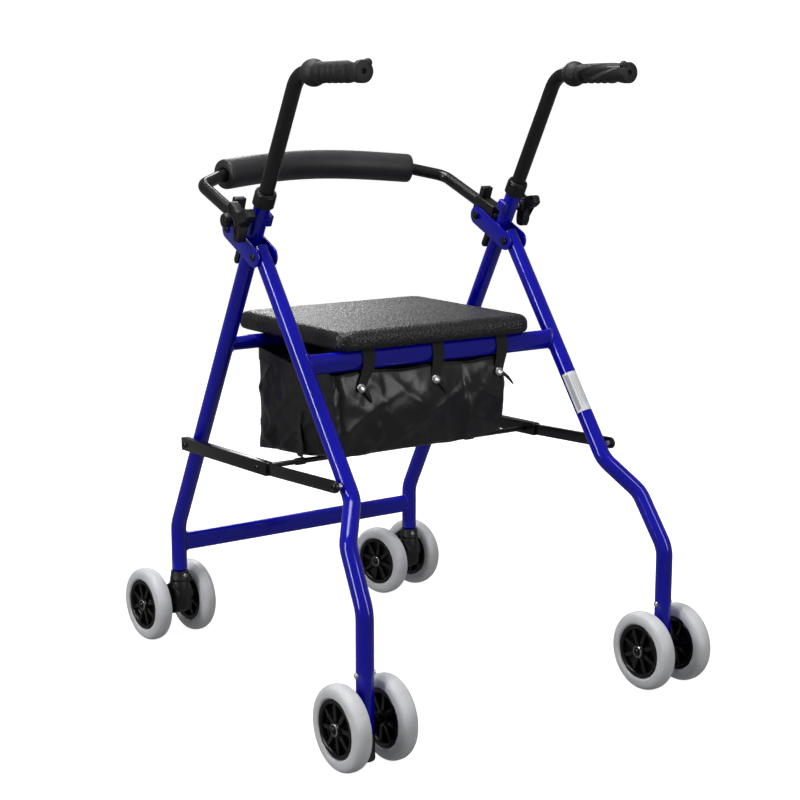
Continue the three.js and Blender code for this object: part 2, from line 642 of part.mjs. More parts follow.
// Open-topped shell that narrows a little towards its bottom
function bag() {
  const taper = 4;
  const loft = (inset, z0, z1) => {
    const outline = roundedRect(BAG.x0 + inset, BAG.x1 - inset, BAG.y0 + inset, BAG.y1 - inset, 16);
    const geometry = new THREE.ExtrudeGeometry(outline, { depth: z1 - z0, bevelEnabled: false, curveSegments: 2 });
    geometry.translate(0, 0, z0);
    const place = geometry.attributes.position;
    const middleX = (BAG.x0 + BAG.x1) / 2;
    const middleY = (BAG.y0 + BAG.y1) / 2;
    for (let i = 0; i < place.count; i += 1) {
      const low = (BAG.z1 - place.getZ(i)) / (BAG.z1 - BAG.z0);
      place.setX(i, place.getX(i) - Math.sign(place.getX(i) - middleX) * taper * low);
      place.setY(i, place.getY(i) - Math.sign(place.getY(i) - middleY) * taper * low);
    }
    return toManifold(geometry);
  };
  return toGeometry(cut(loft(0, BAG.z0, BAG.z1), loft(3, BAG.z0 + 3, BAG.z1 + 5)));
}

add('bag', bag(), NYLON);

export default walker;
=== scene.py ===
"""Looks of a folding rollator walker: gloss blue tube frame, twin wheels, padded seat, bag and backrest."""
import json
import math

import bmesh
import bpy
from mathutils import Matrix, Vector, noise


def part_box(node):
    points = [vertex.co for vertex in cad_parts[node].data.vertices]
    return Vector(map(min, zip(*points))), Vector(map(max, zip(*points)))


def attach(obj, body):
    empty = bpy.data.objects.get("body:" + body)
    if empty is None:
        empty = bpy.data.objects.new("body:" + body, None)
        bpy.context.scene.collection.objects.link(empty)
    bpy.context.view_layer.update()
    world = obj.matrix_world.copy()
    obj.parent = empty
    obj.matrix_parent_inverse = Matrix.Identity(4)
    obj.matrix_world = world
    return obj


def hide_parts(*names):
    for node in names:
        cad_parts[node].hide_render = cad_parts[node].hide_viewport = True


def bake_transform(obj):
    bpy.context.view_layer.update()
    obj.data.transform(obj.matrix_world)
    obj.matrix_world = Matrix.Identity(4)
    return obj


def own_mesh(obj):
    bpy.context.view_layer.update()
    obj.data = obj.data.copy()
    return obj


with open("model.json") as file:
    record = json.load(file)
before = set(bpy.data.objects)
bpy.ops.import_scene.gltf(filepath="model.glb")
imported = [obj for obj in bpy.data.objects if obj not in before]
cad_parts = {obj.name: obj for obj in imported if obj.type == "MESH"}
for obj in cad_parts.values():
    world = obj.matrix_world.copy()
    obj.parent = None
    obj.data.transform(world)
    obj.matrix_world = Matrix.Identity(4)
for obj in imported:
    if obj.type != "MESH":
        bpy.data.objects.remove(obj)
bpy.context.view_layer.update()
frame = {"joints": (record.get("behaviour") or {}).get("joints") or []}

# ------------------------------------------------------------------ sizes, in metres
LEG_R = 0.0125
BAR_R = 0.011
HANDLE_R = 0.011
BACK_R = 0.0095
FOAM_R = 0.0235
ROD_R = 0.004
WHEEL_R = 0.060
TYRE_HALF = 0.0135
HUB_R = 0.0408
HUB_HALF = 0.012
LEG_BEND = 0.045
TUBE_SIDES = 36
FINE_SIDES = 56

# Side-view places (y, z) and the x of the right-hand frame plane
SIDE_X = 0.231
FRONT_TOP = (-0.01075, 0.7453)
FRONT_BEND = (0.28595, 0.1948)
FRONT_FOOT_Z = 0.116
HANDLE_CORNER = (-0.1034, 0.9172)
GRIP_END_Y = -0.26745
FLANGE_Y = -0.14505
BRACKET_FRONT = (0.07385, 0.6926)
KNEE = (0.229, -0.23145, 0.341)
CALF = (0.265, -0.27445, 0.292)
ANKLE = (0.272, -0.32505, 0.214)
REAR_FOOT_Z = 0.044
SEAT_BAR_Z = 0.515
REAR_BAR_Z = 0.511
OVAL_HALF_Y = 0.0075
OVAL_HALF_Z = 0.015
CROSS_BAR = (0.28355, 0.165)
LINK_X = 0.2513
LINK_REAR = (-0.22145, 0.361)
BACK_END = (0.04455, 0.698)
BACK_CORNER = (0.18155, 0.751)
FOAM_END = (0.176, 0.21025, 0.7642)
FOAM_MIDDLE = (0.23855, 0.774)
SLOT_BOLT_Z = 0.128
KNOB_Z = 0.711

JOINTS = {joint["name"]: joint for joint in frame["joints"]}


def pivot(name):
    """Place of a joint in the frame at rest."""
    return Vector(JOINTS[name]["pos_m"])


REAR_PIVOT = pivot("frame_fold").yz
LINK_FRONT = pivot("front_link_fold").yz
LINK_MID = pivot("rear_link_fold").yz


def right(yz, x=SIDE_X):
    return Vector((x, yz[0], yz[1]))


def at_height(a, b, z):
    """Side-view place at height z on the line through a and b."""
    return Vector((a[0] + (b[0] - a[0]) * (z - a[1]) / (b[1] - a[1]), z))


KNEE_YZ = Vector(KNEE[1:])
FRONT_AT_SEAT = at_height(FRONT_TOP, FRONT_BEND, SEAT_BAR_Z)
REAR_AT_SEAT = at_height(REAR_PIVOT, KNEE_YZ, REAR_BAR_Z)
KNOB_AT = at_height(FRONT_TOP, FRONT_BEND, KNOB_Z)
LEG_DOWN = (right(FRONT_BEND) - right(FRONT_TOP)).normalized()
REAR_DOWN = (Vector(KNEE) - right(REAR_PIVOT)).normalized()
ARM_OUT = (right(BACK_CORNER) - right(BACK_END)).normalized()
ARM_X = SIDE_X - 0.001


# ------------------------------------------------------------------ modelling helpers
def clear_selection():
    active = bpy.context.view_layer.objects.active
    if active is not None and active.mode != "OBJECT":
        bpy.ops.object.mode_set(mode="OBJECT")
    bpy.ops.object.select_all(action="DESELECT")


def pick(*pieces):
    clear_selection()
    for piece in pieces:
        piece.select_set(True)
    bpy.context.view_layer.objects.active = pieces[0]


def start(name, primitive, **settings):
    clear_selection()
    primitive(**settings)
    piece = bpy.context.active_object
    piece.name = name
    bpy.ops.object.transform_apply(location=True, rotation=True, scale=True)
    return piece


def edit(piece, kind="VERT"):
    pick(piece)
    bpy.ops.object.mode_set(mode="EDIT")
    bpy.ops.mesh.select_mode(type=kind)
    bpy.ops.mesh.select_all(action="DESELECT")
    return bmesh.from_edit_mesh(piece.data)


def select(piece, mesh, chosen):
    """Select the chosen vertices, edges or faces."""
    for part in chosen:
        part.select_set(True)
    mesh.select_flush_mode()
    bmesh.update_edit_mesh(piece.data)


def leave():
    bpy.ops.object.mode_set(mode="OBJECT")


def close_and_orient(piece):
    """Merge doubles, close any open ring and turn every face outwards."""
    edit(piece)
    bpy.ops.mesh.select_all(action="SELECT")
    bpy.ops.mesh.remove_doubles(threshold=1e-6)
    bpy.ops.mesh.fill_holes(sides=0)
    bpy.ops.mesh.select_all(action="SELECT")
    bpy.ops.mesh.normals_make_consistent(inside=False)
    leave()


def smooth(piece, angle=35):
    pick(piece)
    bpy.ops.object.shade_smooth_by_angle(angle=math.radians(angle))
    return piece


def modify(piece, kind, **settings):
    pick(piece)
    modifier = piece.modifiers.new(kind, kind)
    for key, value in settings.items():
        setattr(modifier, key, value)
    bpy.ops.object.modifier_apply(modifier=modifier.name)
    return piece


def bevel(piece, width, segments=2, angle=35):
    modify(piece, "BEVEL", width=width, segments=segments, limit_method="ANGLE",
           angle_limit=math.radians(angle), harden_normals=False)
    return smooth(piece, angle)


def boolean(piece, tool, operation="DIFFERENCE"):
    modify(piece, "BOOLEAN", operation=operation, solver="EXACT", object=tool)
    bpy.data.objects.remove(tool)
    return piece


def joined(name, *pieces):
    pick(*pieces)
    bpy.ops.object.join()
    whole = bpy.context.active_object
    whole.name = name
    return whole


def point_along(piece, origin, direction):
    """Turn a piece built up along Z at the world's origin to its direction, and move it to its place."""
    piece.rotation_mode = "QUATERNION"
    piece.rotation_quaternion = Vector((0, 0, 1)).rotation_difference(Vector(direction))
    piece.location = origin
    pick(piece)
    bpy.ops.object.transform_apply(location=True, rotation=True, scale=True)
    return piece


def turned(name, profile, origin=(0, 0, 0), direction=(0, 0, 1), sides=FINE_SIDES, closed=False, angle=35):
    """Turned shape: a ring is extruded and scaled from step to step of (along, radius)."""
    first_along, first_radius = profile[0]
    piece = start(name, bpy.ops.mesh.primitive_circle_add, vertices=sides, radius=first_radius,
                  fill_type="NOTHING", location=(0, 0, first_along))
    edit(piece)
    bpy.ops.mesh.select_all(action="SELECT")
    for (along0, radius0), (along1, radius1) in zip(profile, profile[1:]):
        bpy.ops.mesh.extrude_region_move(TRANSFORM_OT_translate={"value": (0, 0, along1 - along0)})
        share = radius1 / radius0
        bpy.ops.transform.resize(value=(share, share, 1), center_override=(0, 0, along1))
    leave()
    close_and_orient(piece)
    point_along(piece, origin, direction)
    return smooth(piece, angle)


def tube(name, points, radius, bend=LEG_BEND, sides=TUBE_SIDES, steps=8, angle=40):
    """Bent tube: a ring is extruded along the straights and spun round the bends."""
    points = [Vector(point) for point in points]
    heading = (points[1] - points[0]).normalized()
    piece = start(name, bpy.ops.mesh.primitive_circle_add, vertices=sides, radius=radius,
                  fill_type="NOTHING", location=points[0], rotation=heading.to_track_quat("Z",
                                                                                          "Y").to_euler())
    edit(piece)
    bpy.ops.mesh.select_all(action="SELECT")
    here = points[0]
    for before, corner, after in zip(points, points[1:], points[2:]):
        back = (before - corner).normalized()
        ahead = (after - corner).normalized()
        half = back.angle(ahead) / 2
        begin = corner + back * bend / math.tan(half)
        end = corner + ahead * bend / math.tan(half)
        centre = corner + (back + ahead).normalized() * bend / math.sin(half)
        axis = (begin - centre).cross(end - centre).normalized()
        bpy.ops.mesh.extrude_region_move(TRANSFORM_OT_translate={"value": begin - here})
        # The spin operator turns against the right-hand rule
        bpy.ops.mesh.spin(steps=steps, angle=2 * half - math.pi, center=centre, axis=axis)
        here = end
    bpy.ops.mesh.extrude_region_move(TRANSFORM_OT_translate={"value": points[-1] - here})
    leave()
    close_and_orient(piece)
    return smooth(piece, angle)


def box(name, low, high, edge=0.0006, segments=2):
    low, high = Vector(low), Vector(high)
    piece = start(name, bpy.ops.mesh.primitive_cube_add, size=1, location=(low + high) / 2, scale=high - low)
    return bevel(piece, edge, segments) if edge else piece


def turn_about_x(piece, angle, place):
    """Turn a piece about X, right-handed, through a side-view place, in its mesh."""
    pivot_point = Vector((0, place[0], place[1]))
    turn = Matrix.Translation(pivot_point) @ Matrix.Rotation(angle, 4, "X") @ Matrix.Translation(-pivot_point)
    piece.matrix_world = turn @ piece.matrix_world
    pick(piece)
    bpy.ops.object.transform_apply(location=True, rotation=True, scale=True)
    return piece


def lozenge(name, a, b, radius, x0, x1, edge=0.0006, sides=48):
    """Plate with two round ends, from side-view place a to b, between x0 and x1."""
    a, b = Vector(a), Vector(b)
    piece = start(name, bpy.ops.mesh.primitive_cylinder_add, vertices=sides, radius=radius, depth=x1 - x0,
                  location=(0, 0, 0), rotation=(0, math.pi / 2, 0))
    turn_about_x(piece, math.pi / sides, (0, 0))
    mesh = edit(piece)
    select(piece, mesh, [v for v in mesh.verts if v.co.y > 0])
    bpy.ops.transform.translate(value=(0, (b - a).length, 0))
    leave()
    turn_about_x(piece, math.atan2(b.y - a.y, b.x - a.x), (0, 0))
    piece.location = ((x0 + x1) / 2, a.x, a.y)
    pick(piece)
    bpy.ops.object.transform_apply(location=True)
    return bevel(piece, edge) if edge else piece


def mirror(piece, name):
    """A left-hand copy with its own mesh."""
    pick(piece)
    bpy.ops.object.duplicate()
    copy = bpy.context.active_object
    copy.name = name
    bpy.ops.object.mode_set(mode="EDIT")
    bpy.ops.mesh.select_all(action="SELECT")
    bpy.ops.transform.resize(value=(-1, 1, 1), center_override=(0, 0, 0))
    bpy.ops.mesh.flip_normals()
    leave()
    return copy


def finish(piece, material, body, slot, *nodes):
    piece.data.materials.clear()
    piece.data.materials.append(material)
    if body is not None:
        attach(piece, body)
    if nodes:
        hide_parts(*nodes)
    return piece


def pair(piece, material, body, slot, *nodes):
    """Finish a right-hand piece and its left-hand mirror; names and nodes carry {side}."""
    stem = piece.name
    left = mirror(piece, stem + "_left")
    piece.name = stem + "_right"
    for side, half in (("right", piece), ("left", left)):
        finish(half, material, body.format(side=side), slot, *[node.format(side=side) for node in nodes])
    return piece, left


# ------------------------------------------------------------------ shader groups
def new_group(name, inputs, outputs):
    group = bpy.data.node_groups.new(name, "ShaderNodeTree")
    for label, kind, value in inputs:
        socket = group.interface.new_socket(name=label, in_out="INPUT", socket_type=kind)
        if value is not None:
            socket.default_value = value
    for label, kind in outputs:
        group.interface.new_socket(name=label, in_out="OUTPUT", socket_type=kind)
    return group, group.nodes.new("NodeGroupInput"), group.nodes.new("NodeGroupOutput")


def texture(tree, kind, vector, scale, **settings):
    node = tree.nodes.new(kind)
    for key, value in settings.items():
        if key in node.inputs:
            node.inputs[key].default_value = value
        else:
            setattr(node, key, value)
    tree.links.new(vector, node.inputs["Vector"])
    if hasattr(scale, "links"):
        tree.links.new(scale, node.inputs["Scale"])
    else:
        node.inputs["Scale"].default_value = scale
    return node


def calc(tree, operation, a, b=0.5, clamp=False):
    node = tree.nodes.new("ShaderNodeMath")
    node.operation = operation
    node.use_clamp = clamp
    for socket, value in zip(node.inputs, (a, b)):
        if hasattr(value, "links"):
            tree.links.new(value, socket)
        else:
            socket.default_value = value
    return node.outputs[0]


def grain_group():
    """Fine moulded or sprayed grain: a height for the bump and a slow mottle for colour and gloss."""
    group, give, take = new_group("Surface grain", [
        ("Vector", "NodeSocketVector", None), ("Grain Scale", "NodeSocketFloat", 900.0),
        ("Mottle Scale", "NodeSocketFloat", 14.0)], [("Height", "NodeSocketFloat"),
                                                     ("Mottle", "NodeSocketFloat")])
    fine = texture(group, "ShaderNodeTexNoise", give.outputs["Vector"], give.outputs["Grain Scale"],
                   Detail=3.0, Roughness=0.6)
    slow = texture(group, "ShaderNodeTexNoise", give.outputs["Vector"], give.outputs["Mottle Scale"],
                   Detail=4.0, Roughness=0.55)
    group.links.new(fine.outputs["Fac"], take.inputs["Height"])
    group.links.new(slow.outputs["Fac"], take.inputs["Mottle"])
    return group


def pebble_group():
    """Pebbled skin: rounded cells, broken up so that no two are alike, and a valley mask that the seat uses
    to paint shade into the valleys.
    """
    group, give, take = new_group("Pebble skin", [
        ("Vector", "NodeSocketVector", None), ("Cell Scale", "NodeSocketFloat", 420.0)],
        [("Height", "NodeSocketFloat"), ("Valley", "NodeSocketFloat")])
    cells = texture(group, "ShaderNodeTexVoronoi", give.outputs["Vector"], give.outputs["Cell Scale"],
                    feature="SMOOTH_F1", Smoothness=0.6, Randomness=1.0)
    rise = calc(group, "SUBTRACT", 0.75, cells.outputs["Distance"])
    group.links.new(rise, take.inputs["Height"])
    # Valley mask: 0 on the cells' crowns, 1 in their valleys; the seat skin paints shade into the valleys
    # with it
    group.links.new(calc(group, "MULTIPLY", cells.outputs["Distance"], 1.1, clamp=True),
                    take.inputs["Valley"])
    return group


def weave_group():
    """Plain weave of crossing threads, as a height and a thread mask."""
    group, give, take = new_group("Plain weave", [
        ("Vector", "NodeSocketVector", None), ("Thread Scale", "NodeSocketFloat", 300.0)],
        [("Height", "NodeSocketFloat")])
    heights = []
    for direction in ("X", "Z"):
        wave = texture(group, "ShaderNodeTexWave", give.outputs["Vector"], give.outputs["Thread Scale"],
                       bands_direction=direction, Distortion=0.4, Detail=1.0)
        heights.append(wave.outputs["Fac"])
    group.links.new(calc(group, "MULTIPLY", *heights), take.inputs["Height"])
    return group


GRAIN = grain_group()
PEBBLE = pebble_group()
WEAVE = weave_group()


class Finish:
    """One material under construction: its shader, its object coordinates and short cuts to link them."""

    def __init__(self, name, colour, roughness, **constants):
        self.material = bpy.data.materials.new(name)
        self.material.use_nodes = True
        self.tree = self.material.node_tree
        self.shader = self.tree.nodes["Principled BSDF"]
        self.place = self.tree.nodes.new("ShaderNodeTexCoord").outputs["Object"]
        self.shader.inputs["Base Color"].default_value = (*colour, 1)
        self.shader.inputs["Roughness"].default_value = roughness
        for key, value in constants.items():
            self.shader.inputs[key.replace("_", " ")].default_value = value

    def group(self, group, **values):
        node = self.tree.nodes.new("ShaderNodeGroup")
        node.node_tree = group
        self.tree.links.new(self.place, node.inputs["Vector"])
        for key, value in values.items():
            node.inputs[key.replace("_", " ")].default_value = value
        return node

    def ramp(self, factor, low, high, low_at=0.3, high_at=0.7):
        node = self.tree.nodes.new("ShaderNodeValToRGB")
        node.color_ramp.elements[0].position = low_at
        node.color_ramp.elements[1].position = high_at
        node.color_ramp.elements[0].color = (*low, 1) if isinstance(low, tuple) else (low, low, low, 1)
        node.color_ramp.elements[1].color = (*high, 1) if isinstance(high, tuple) else (high, high, high, 1)
        self.tree.links.new(factor, node.inputs["Fac"])
        return node.outputs["Color"]

    def feed(self, socket, value):
        self.tree.links.new(value, self.shader.inputs[socket])

    def bump(self, height, strength, distance, after=None):
        node = self.tree.nodes.new("ShaderNodeBump")
        node.inputs["Strength"].default_value = strength
        node.inputs["Distance"].default_value = distance
        self.tree.links.new(height, node.inputs["Height"])
        if after is not None:
            self.tree.links.new(after, node.inputs["Normal"])
        self.feed("Normal", node.outputs["Normal"])
        return node.outputs["Normal"]


def gloss_blue():
    """Deep royal blue stoved enamel with a faint orange peel."""
    paint = Finish("Blue enamel", (0.001, 0.001, 0.6), 0.16, Specular_IOR_Level=0.3, Coat_Weight=0.7,
                   Coat_Roughness=0.03)
    grain = paint.group(GRAIN, Grain_Scale=260.0, Mottle_Scale=9.0)
    paint.feed("Base Color", paint.ramp(grain.outputs["Mottle"], (0.001, 0.001, 0.34), (0.002, 0.002, 0.48)))
    paint.feed("Roughness", paint.ramp(grain.outputs["Mottle"], 0.13, 0.22))
    paint.bump(grain.outputs["Height"], 0.03, 0.0004)
    return paint.material


def weld_blue():
    """The same enamel over a rippled weld bead."""
    paint = Finish("Blue enamel on weld", (0.007, 0.007, 0.32), 0.3, Coat_Weight=0.5, Coat_Roughness=0.1)
    grain = paint.group(GRAIN, Grain_Scale=520.0, Mottle_Scale=60.0)
    paint.feed("Base Color", paint.ramp(grain.outputs["Mottle"], (0.001, 0.001, 0.26), (0.003, 0.003, 0.5)))
    paint.bump(grain.outputs["Height"], 0.5, 0.0008)
    return paint.material


def dark(name, colour, roughness, grain_scale, strength, distance, spread=0.35, **constants):
    """Black paint, plastic or rubber: a grain of its own scale, and a mottle in its gloss and colour."""
    skin = Finish(name, colour, roughness, **constants)
    grain = skin.group(GRAIN, Grain_Scale=grain_scale, Mottle_Scale=11.0)
    low = tuple(c * (1 - spread) for c in colour)
    high = tuple(c * (1 + spread) for c in colour)
    skin.feed("Base Color", skin.ramp(grain.outputs["Mottle"], low, high))
    skin.feed("Roughness", skin.ramp(grain.outputs["Mottle"], roughness * 0.88, min(1.0, roughness * 1.12)))
    skin.bump(grain.outputs["Height"], strength, distance)
    return skin.material


def tyre_grey():
    """Pale grey cast polyurethane, a little cloudy, with road dust in its low spots."""
    skin = Finish("Grey tyre", (0.6, 0.61, 0.63), 0.42, Specular_IOR_Level=0.4)
    grain = skin.group(GRAIN, Grain_Scale=700.0, Mottle_Scale=22.0)
    skin.feed("Base Color", skin.ramp(grain.outputs["Mottle"], (0.68, 0.69, 0.715), (0.8, 0.81, 0.83)))
    skin.feed("Roughness", skin.ramp(grain.outputs["Mottle"], 0.36, 0.52))
    skin.bump(grain.outputs["Height"], 0.12, 0.0003)
    return skin.material


def foam_skin():
    """Closed-cell foam: soft charcoal with a fine pore and a slight sheen."""
    skin = Finish("Charcoal foam", (0.02, 0.02, 0.022), 0.46, Sheen_Weight=0.1, Sheen_Roughness=0.45)
    grain = skin.group(GRAIN, Grain_Scale=1500.0, Mottle_Scale=30.0)
    skin.feed("Base Color", skin.ramp(grain.outputs["Mottle"], (0.015, 0.015, 0.017), (0.024, 0.024, 0.027)))
    skin.bump(grain.outputs["Height"], 0.2, 0.0003)
    return skin.material


def seat_skin():
    """Black moulded seat skin with a pebble grain; its colour carries a painted highlight, lighter on the
    pebbles' crowns, and painted shade, darker in their valleys.
    """
    skin = Finish("Pebbled seat skin", (0.02, 0.02, 0.021), 0.5, Specular_IOR_Level=0.55)
    pebble = skin.group(PEBBLE, Cell_Scale=290.0)
    # Painted light: the valley mask makes the crowns lighter (painted highlight) and the valleys darker
    # (painted shade)
    skin.feed("Base Color", skin.ramp(pebble.outputs["Valley"], (0.012, 0.012, 0.0125), (0.004, 0.004,
                                                                                         0.0042)))
    skin.feed("Roughness", skin.ramp(pebble.outputs["Valley"], 0.24, 0.5))
    skin.bump(pebble.outputs["Height"], 1.0, 0.0011)
    return skin.material


def cloth(name, colour, roughness, threads, strength, crumple, **constants):
    """Woven cloth: a fine weave over slow creases."""
    skin = Finish(name, colour, roughness, **constants)
    grain = skin.group(GRAIN, Grain_Scale=60.0, Mottle_Scale=18.0)
    weave = skin.group(WEAVE, Thread_Scale=threads)
    skin.feed("Base Color", skin.ramp(grain.outputs["Mottle"], tuple(c * 0.7 for c in colour),
                                      tuple(c * 1.35 for c in colour)))
    creases = skin.bump(grain.outputs["Height"], crumple, 0.002)
    skin.bump(weave.outputs["Height"], strength, 0.0004, after=creases)
    return skin.material


def bright_steel():
    """Zinc-plated steel, brushed by handling."""
    metal = Finish("Zinc steel", (0.62, 0.62, 0.63), 0.28, Metallic=1.0)
    grain = metal.group(GRAIN, Grain_Scale=900.0, Mottle_Scale=120.0)
    metal.feed("Roughness", metal.ramp(grain.outputs["Mottle"], 0.2, 0.42))
    metal.feed("Base Color", metal.ramp(grain.outputs["Mottle"], (0.5, 0.5, 0.51), (0.72, 0.72, 0.73)))
    metal.bump(grain.outputs["Height"], 0.08, 0.0002)
    return metal.material


BLUE = gloss_blue()
WELD = weld_blue()
BLACK_PAINT = dark("Satin black enamel", (0.004, 0.004, 0.0045), 0.3, 420.0, 0.02, 0.0001, spread=0.06,
                   Coat_Weight=0.25)
PLASTIC = dark("Black moulding", (0.006, 0.006, 0.0065), 0.42, 1100.0, 0.22, 0.0003)
HUB_PLASTIC = dark("Black wheel moulding", (0.004, 0.004, 0.0045), 0.27, 900.0, 0.12, 0.0003)
RUBBER = dark("Grip rubber", (0.014, 0.0145, 0.016), 0.55, 1300.0, 0.4, 0.0004)
TYRE = tyre_grey()
FOAM = foam_skin()
SEAT = seat_skin()
NYLON = cloth("Bag nylon", (0.006, 0.006, 0.007), 0.29, 950.0, 0.1, 0.2, Specular_IOR_Level=0.7)
WEBBING = cloth("Black webbing", (0.012, 0.012, 0.012), 0.7, 500.0, 0.6, 0.1)
STEEL = bright_steel()
LABEL = dark("Label paper", (0.78, 0.79, 0.8), 0.45, 600.0, 0.05, 0.0002, spread=0.03)
LABEL_PRINT = dark("Label print", (0.35, 0.36, 0.38), 0.5, 600.0, 0.05, 0.0002, spread=0.05)


# ------------------------------------------------------------------ frame tubes
def weld_bead(name, bar_centre, bar_radius, leg_axis, leg_radius=LEG_R, inward=-1, squeeze=(1.0, 1.0)):
    """Rippled bead round a bar that runs along X where it meets a leg's side."""
    piece = start(name, bpy.ops.mesh.primitive_torus_add, major_segments=64, minor_segments=10,
                  major_radius=bar_radius + 0.0004, minor_radius=0.0017, rotation=(0, math.pi / 2, 0))
    axis = Vector(leg_axis).normalized()
    mesh = edit(piece)
    for vert in mesh.verts:
        y, z = vert.co.y * squeeze[0], vert.co.z * squeeze[1]
        off = Vector((0, y, z)) - axis * Vector((0, y, z)).dot(axis)
        reach = math.sqrt(max(0.0, leg_radius ** 2 - min(off.length, leg_radius * 0.97) ** 2))
        swell = 1 + 0.16 * math.sin(14 * math.atan2(z, y))
        vert.co = Vector((inward * reach + vert.co.x * swell, y, z)) + Vector(bar_centre)
    bmesh.update_edit_mesh(piece.data)
    leave()
    return smooth(piece, 180)


def front_leg():
    foot = right((FRONT_BEND[0], FRONT_FOOT_Z))
    leg = tube("front_leg", [right(FRONT_TOP), right(FRONT_BEND), foot + Vector((0, 0, 0.004))], LEG_R)
    mesh = edit(leg)
    select(leg, mesh,
           [f for f in mesh.faces if f.normal.z < -0.9 and f.calc_center_median().z < foot.z + 0.005])
    bpy.ops.mesh.extrude_region_move(TRANSFORM_OT_translate={"value": (0, 0, -0.004)})
    bpy.ops.transform.resize(value=(0.8, 0.8, 1), center_override=foot)
    leave()
    smooth(leg, 40)
    pair(leg, BLUE, "front_frame", "blue_paint", "front_leg_{side}")
    lean = math.atan2(FRONT_BEND[0] - FRONT_TOP[0], FRONT_TOP[1] - FRONT_BEND[1])
    nut_x = SIDE_X - LEG_R
    nut = box("weld_nut", (nut_x - 0.006, KNOB_AT.x - 0.009, KNOB_AT.y - 0.009),
              (nut_x + 0.003, KNOB_AT.x + 0.009, KNOB_AT.y + 0.009), edge=0.0015, segments=3)
    turn_about_x(nut, lean, KNOB_AT)
    pair(nut, WELD, "front_frame", "blue_paint")


def rear_leg():
    top = right(REAR_PIVOT) - REAR_DOWN * 0.013
    leg = tube("rear_leg", [top, KNEE, CALF, ANKLE, (*ANKLE[:2], REAR_FOOT_Z)], LEG_R)
    slot = lozenge("slot_tool", (ANKLE[1], WHEEL_R), (ANKLE[1], WHEEL_R + 0.008), 0.0046,
                   ANKLE[0] - 0.03, ANKLE[0] + 0.03, edge=0)
    boolean(leg, slot)
    smooth(leg, 40)
    pair(leg, BLUE, "rear_frame", "blue_paint", "rear_leg_{side}")
    cap = turned("leg_cap", [(0, LEG_R * 0.97), (0.0012, LEG_R * 0.97), (0.0022, LEG_R * 0.85),
                             (0.0022, 0.001)],
                 top, -REAR_DOWN, sides=TUBE_SIDES)
    pair(cap, PLASTIC, "rear_frame", "black_plastic")
    pin = turned("link_pin", [(0, 0.004), (0.0065, 0.004)], (SIDE_X + 0.0105, *LINK_REAR), (1, 0, 0),
                 sides=24)
    pair(pin, STEEL, "rear_frame", "bolt_steel")


def seat_bar():
    """Round bar between the front legs that the seat turns on."""
    end = SIDE_X - LEG_R * 0.45
    bar = tube("front_seat_bar", [(-end, *FRONT_AT_SEAT), (end, *FRONT_AT_SEAT)], BAR_R)
    finish(bar, BLUE, "front_frame", "blue_paint", "front_seat_bar")
    bead = weld_bead("front_seat_bar_weld", right(FRONT_AT_SEAT), BAR_R, LEG_DOWN)
    pair(bead, WELD, "front_frame", "blue_paint")


def rear_seat_bar():
    """Oval bar between the rear legs, under the seat's rear edge, that the bag hangs from."""
    leg_x = SIDE_X - 0.0009
    end = leg_x - LEG_R * 0.5
    bar = tube("rear_seat_bar", [(-end, *REAR_AT_SEAT), (end, *REAR_AT_SEAT)], OVAL_HALF_Z)
    mesh = edit(bar)
    select(bar, mesh, list(mesh.verts))
    bpy.ops.transform.resize(value=(1, OVAL_HALF_Y / OVAL_HALF_Z, 1), center_override=(0, *REAR_AT_SEAT))
    leave()
    finish(bar, BLUE, "rear_frame", "blue_paint", "rear_seat_bar")
    bead = weld_bead("rear_seat_bar_weld", (leg_x, *REAR_AT_SEAT), OVAL_HALF_Z, REAR_DOWN, squeeze=(0.52,
                                                                                                    1.0))
    pair(bead, WELD, "rear_frame", "blue_paint")


def cross_bar():
    """Flat-oval bar low between the front legs."""
    end = SIDE_X - LEG_R * 0.5
    bar = box("front_cross_bar", (-end, CROSS_BAR[0] - OVAL_HALF_Y, CROSS_BAR[1] - OVAL_HALF_Z),
              (end, CROSS_BAR[0] + OVAL_HALF_Y, CROSS_BAR[1] + OVAL_HALF_Z), edge=0)
    mesh = edit(bar, "EDGE")
    select(bar, mesh, [e for e in mesh.edges if abs(e.verts[0].co.x - e.verts[1].co.x) > end])
    bpy.ops.mesh.bevel(offset=0.0065, segments=7, affect="EDGES")
    leave()
    smooth(bar, 40)
    finish(bar, BLUE, "front_frame", "blue_paint", "front_cross_bar")
    bead = weld_bead("front_cross_bar_weld", right(CROSS_BAR), OVAL_HALF_Z, (0, 0, 1), squeeze=(0.52, 1.0))
    pair(bead, WELD, "front_frame", "blue_paint")


# ------------------------------------------------------------------ hinge brackets
PLATE_T = 0.003
PLATE_GAP = LEG_R + 0.0012


def bolt_head(name, place, x, reach=0.003, radius=0.0058):
    """Button head with a hexagon socket, its flat on the plate at x, facing away from the leg."""
    head = turned(name, [(0, radius), (reach * 0.35, radius), (reach * 0.75, radius * 0.86),
                         (reach, radius * 0.6),
                         (reach, 0.0026)], (x, *place), (1, 0, 0), sides=32)
    socket = start("socket_tool", bpy.ops.mesh.primitive_cylinder_add, vertices=6, radius=0.0024, depth=0.004,
                   location=(x + reach + 0.0004, *place), rotation=(0, math.pi / 2, 0))
    return boolean(head, socket)


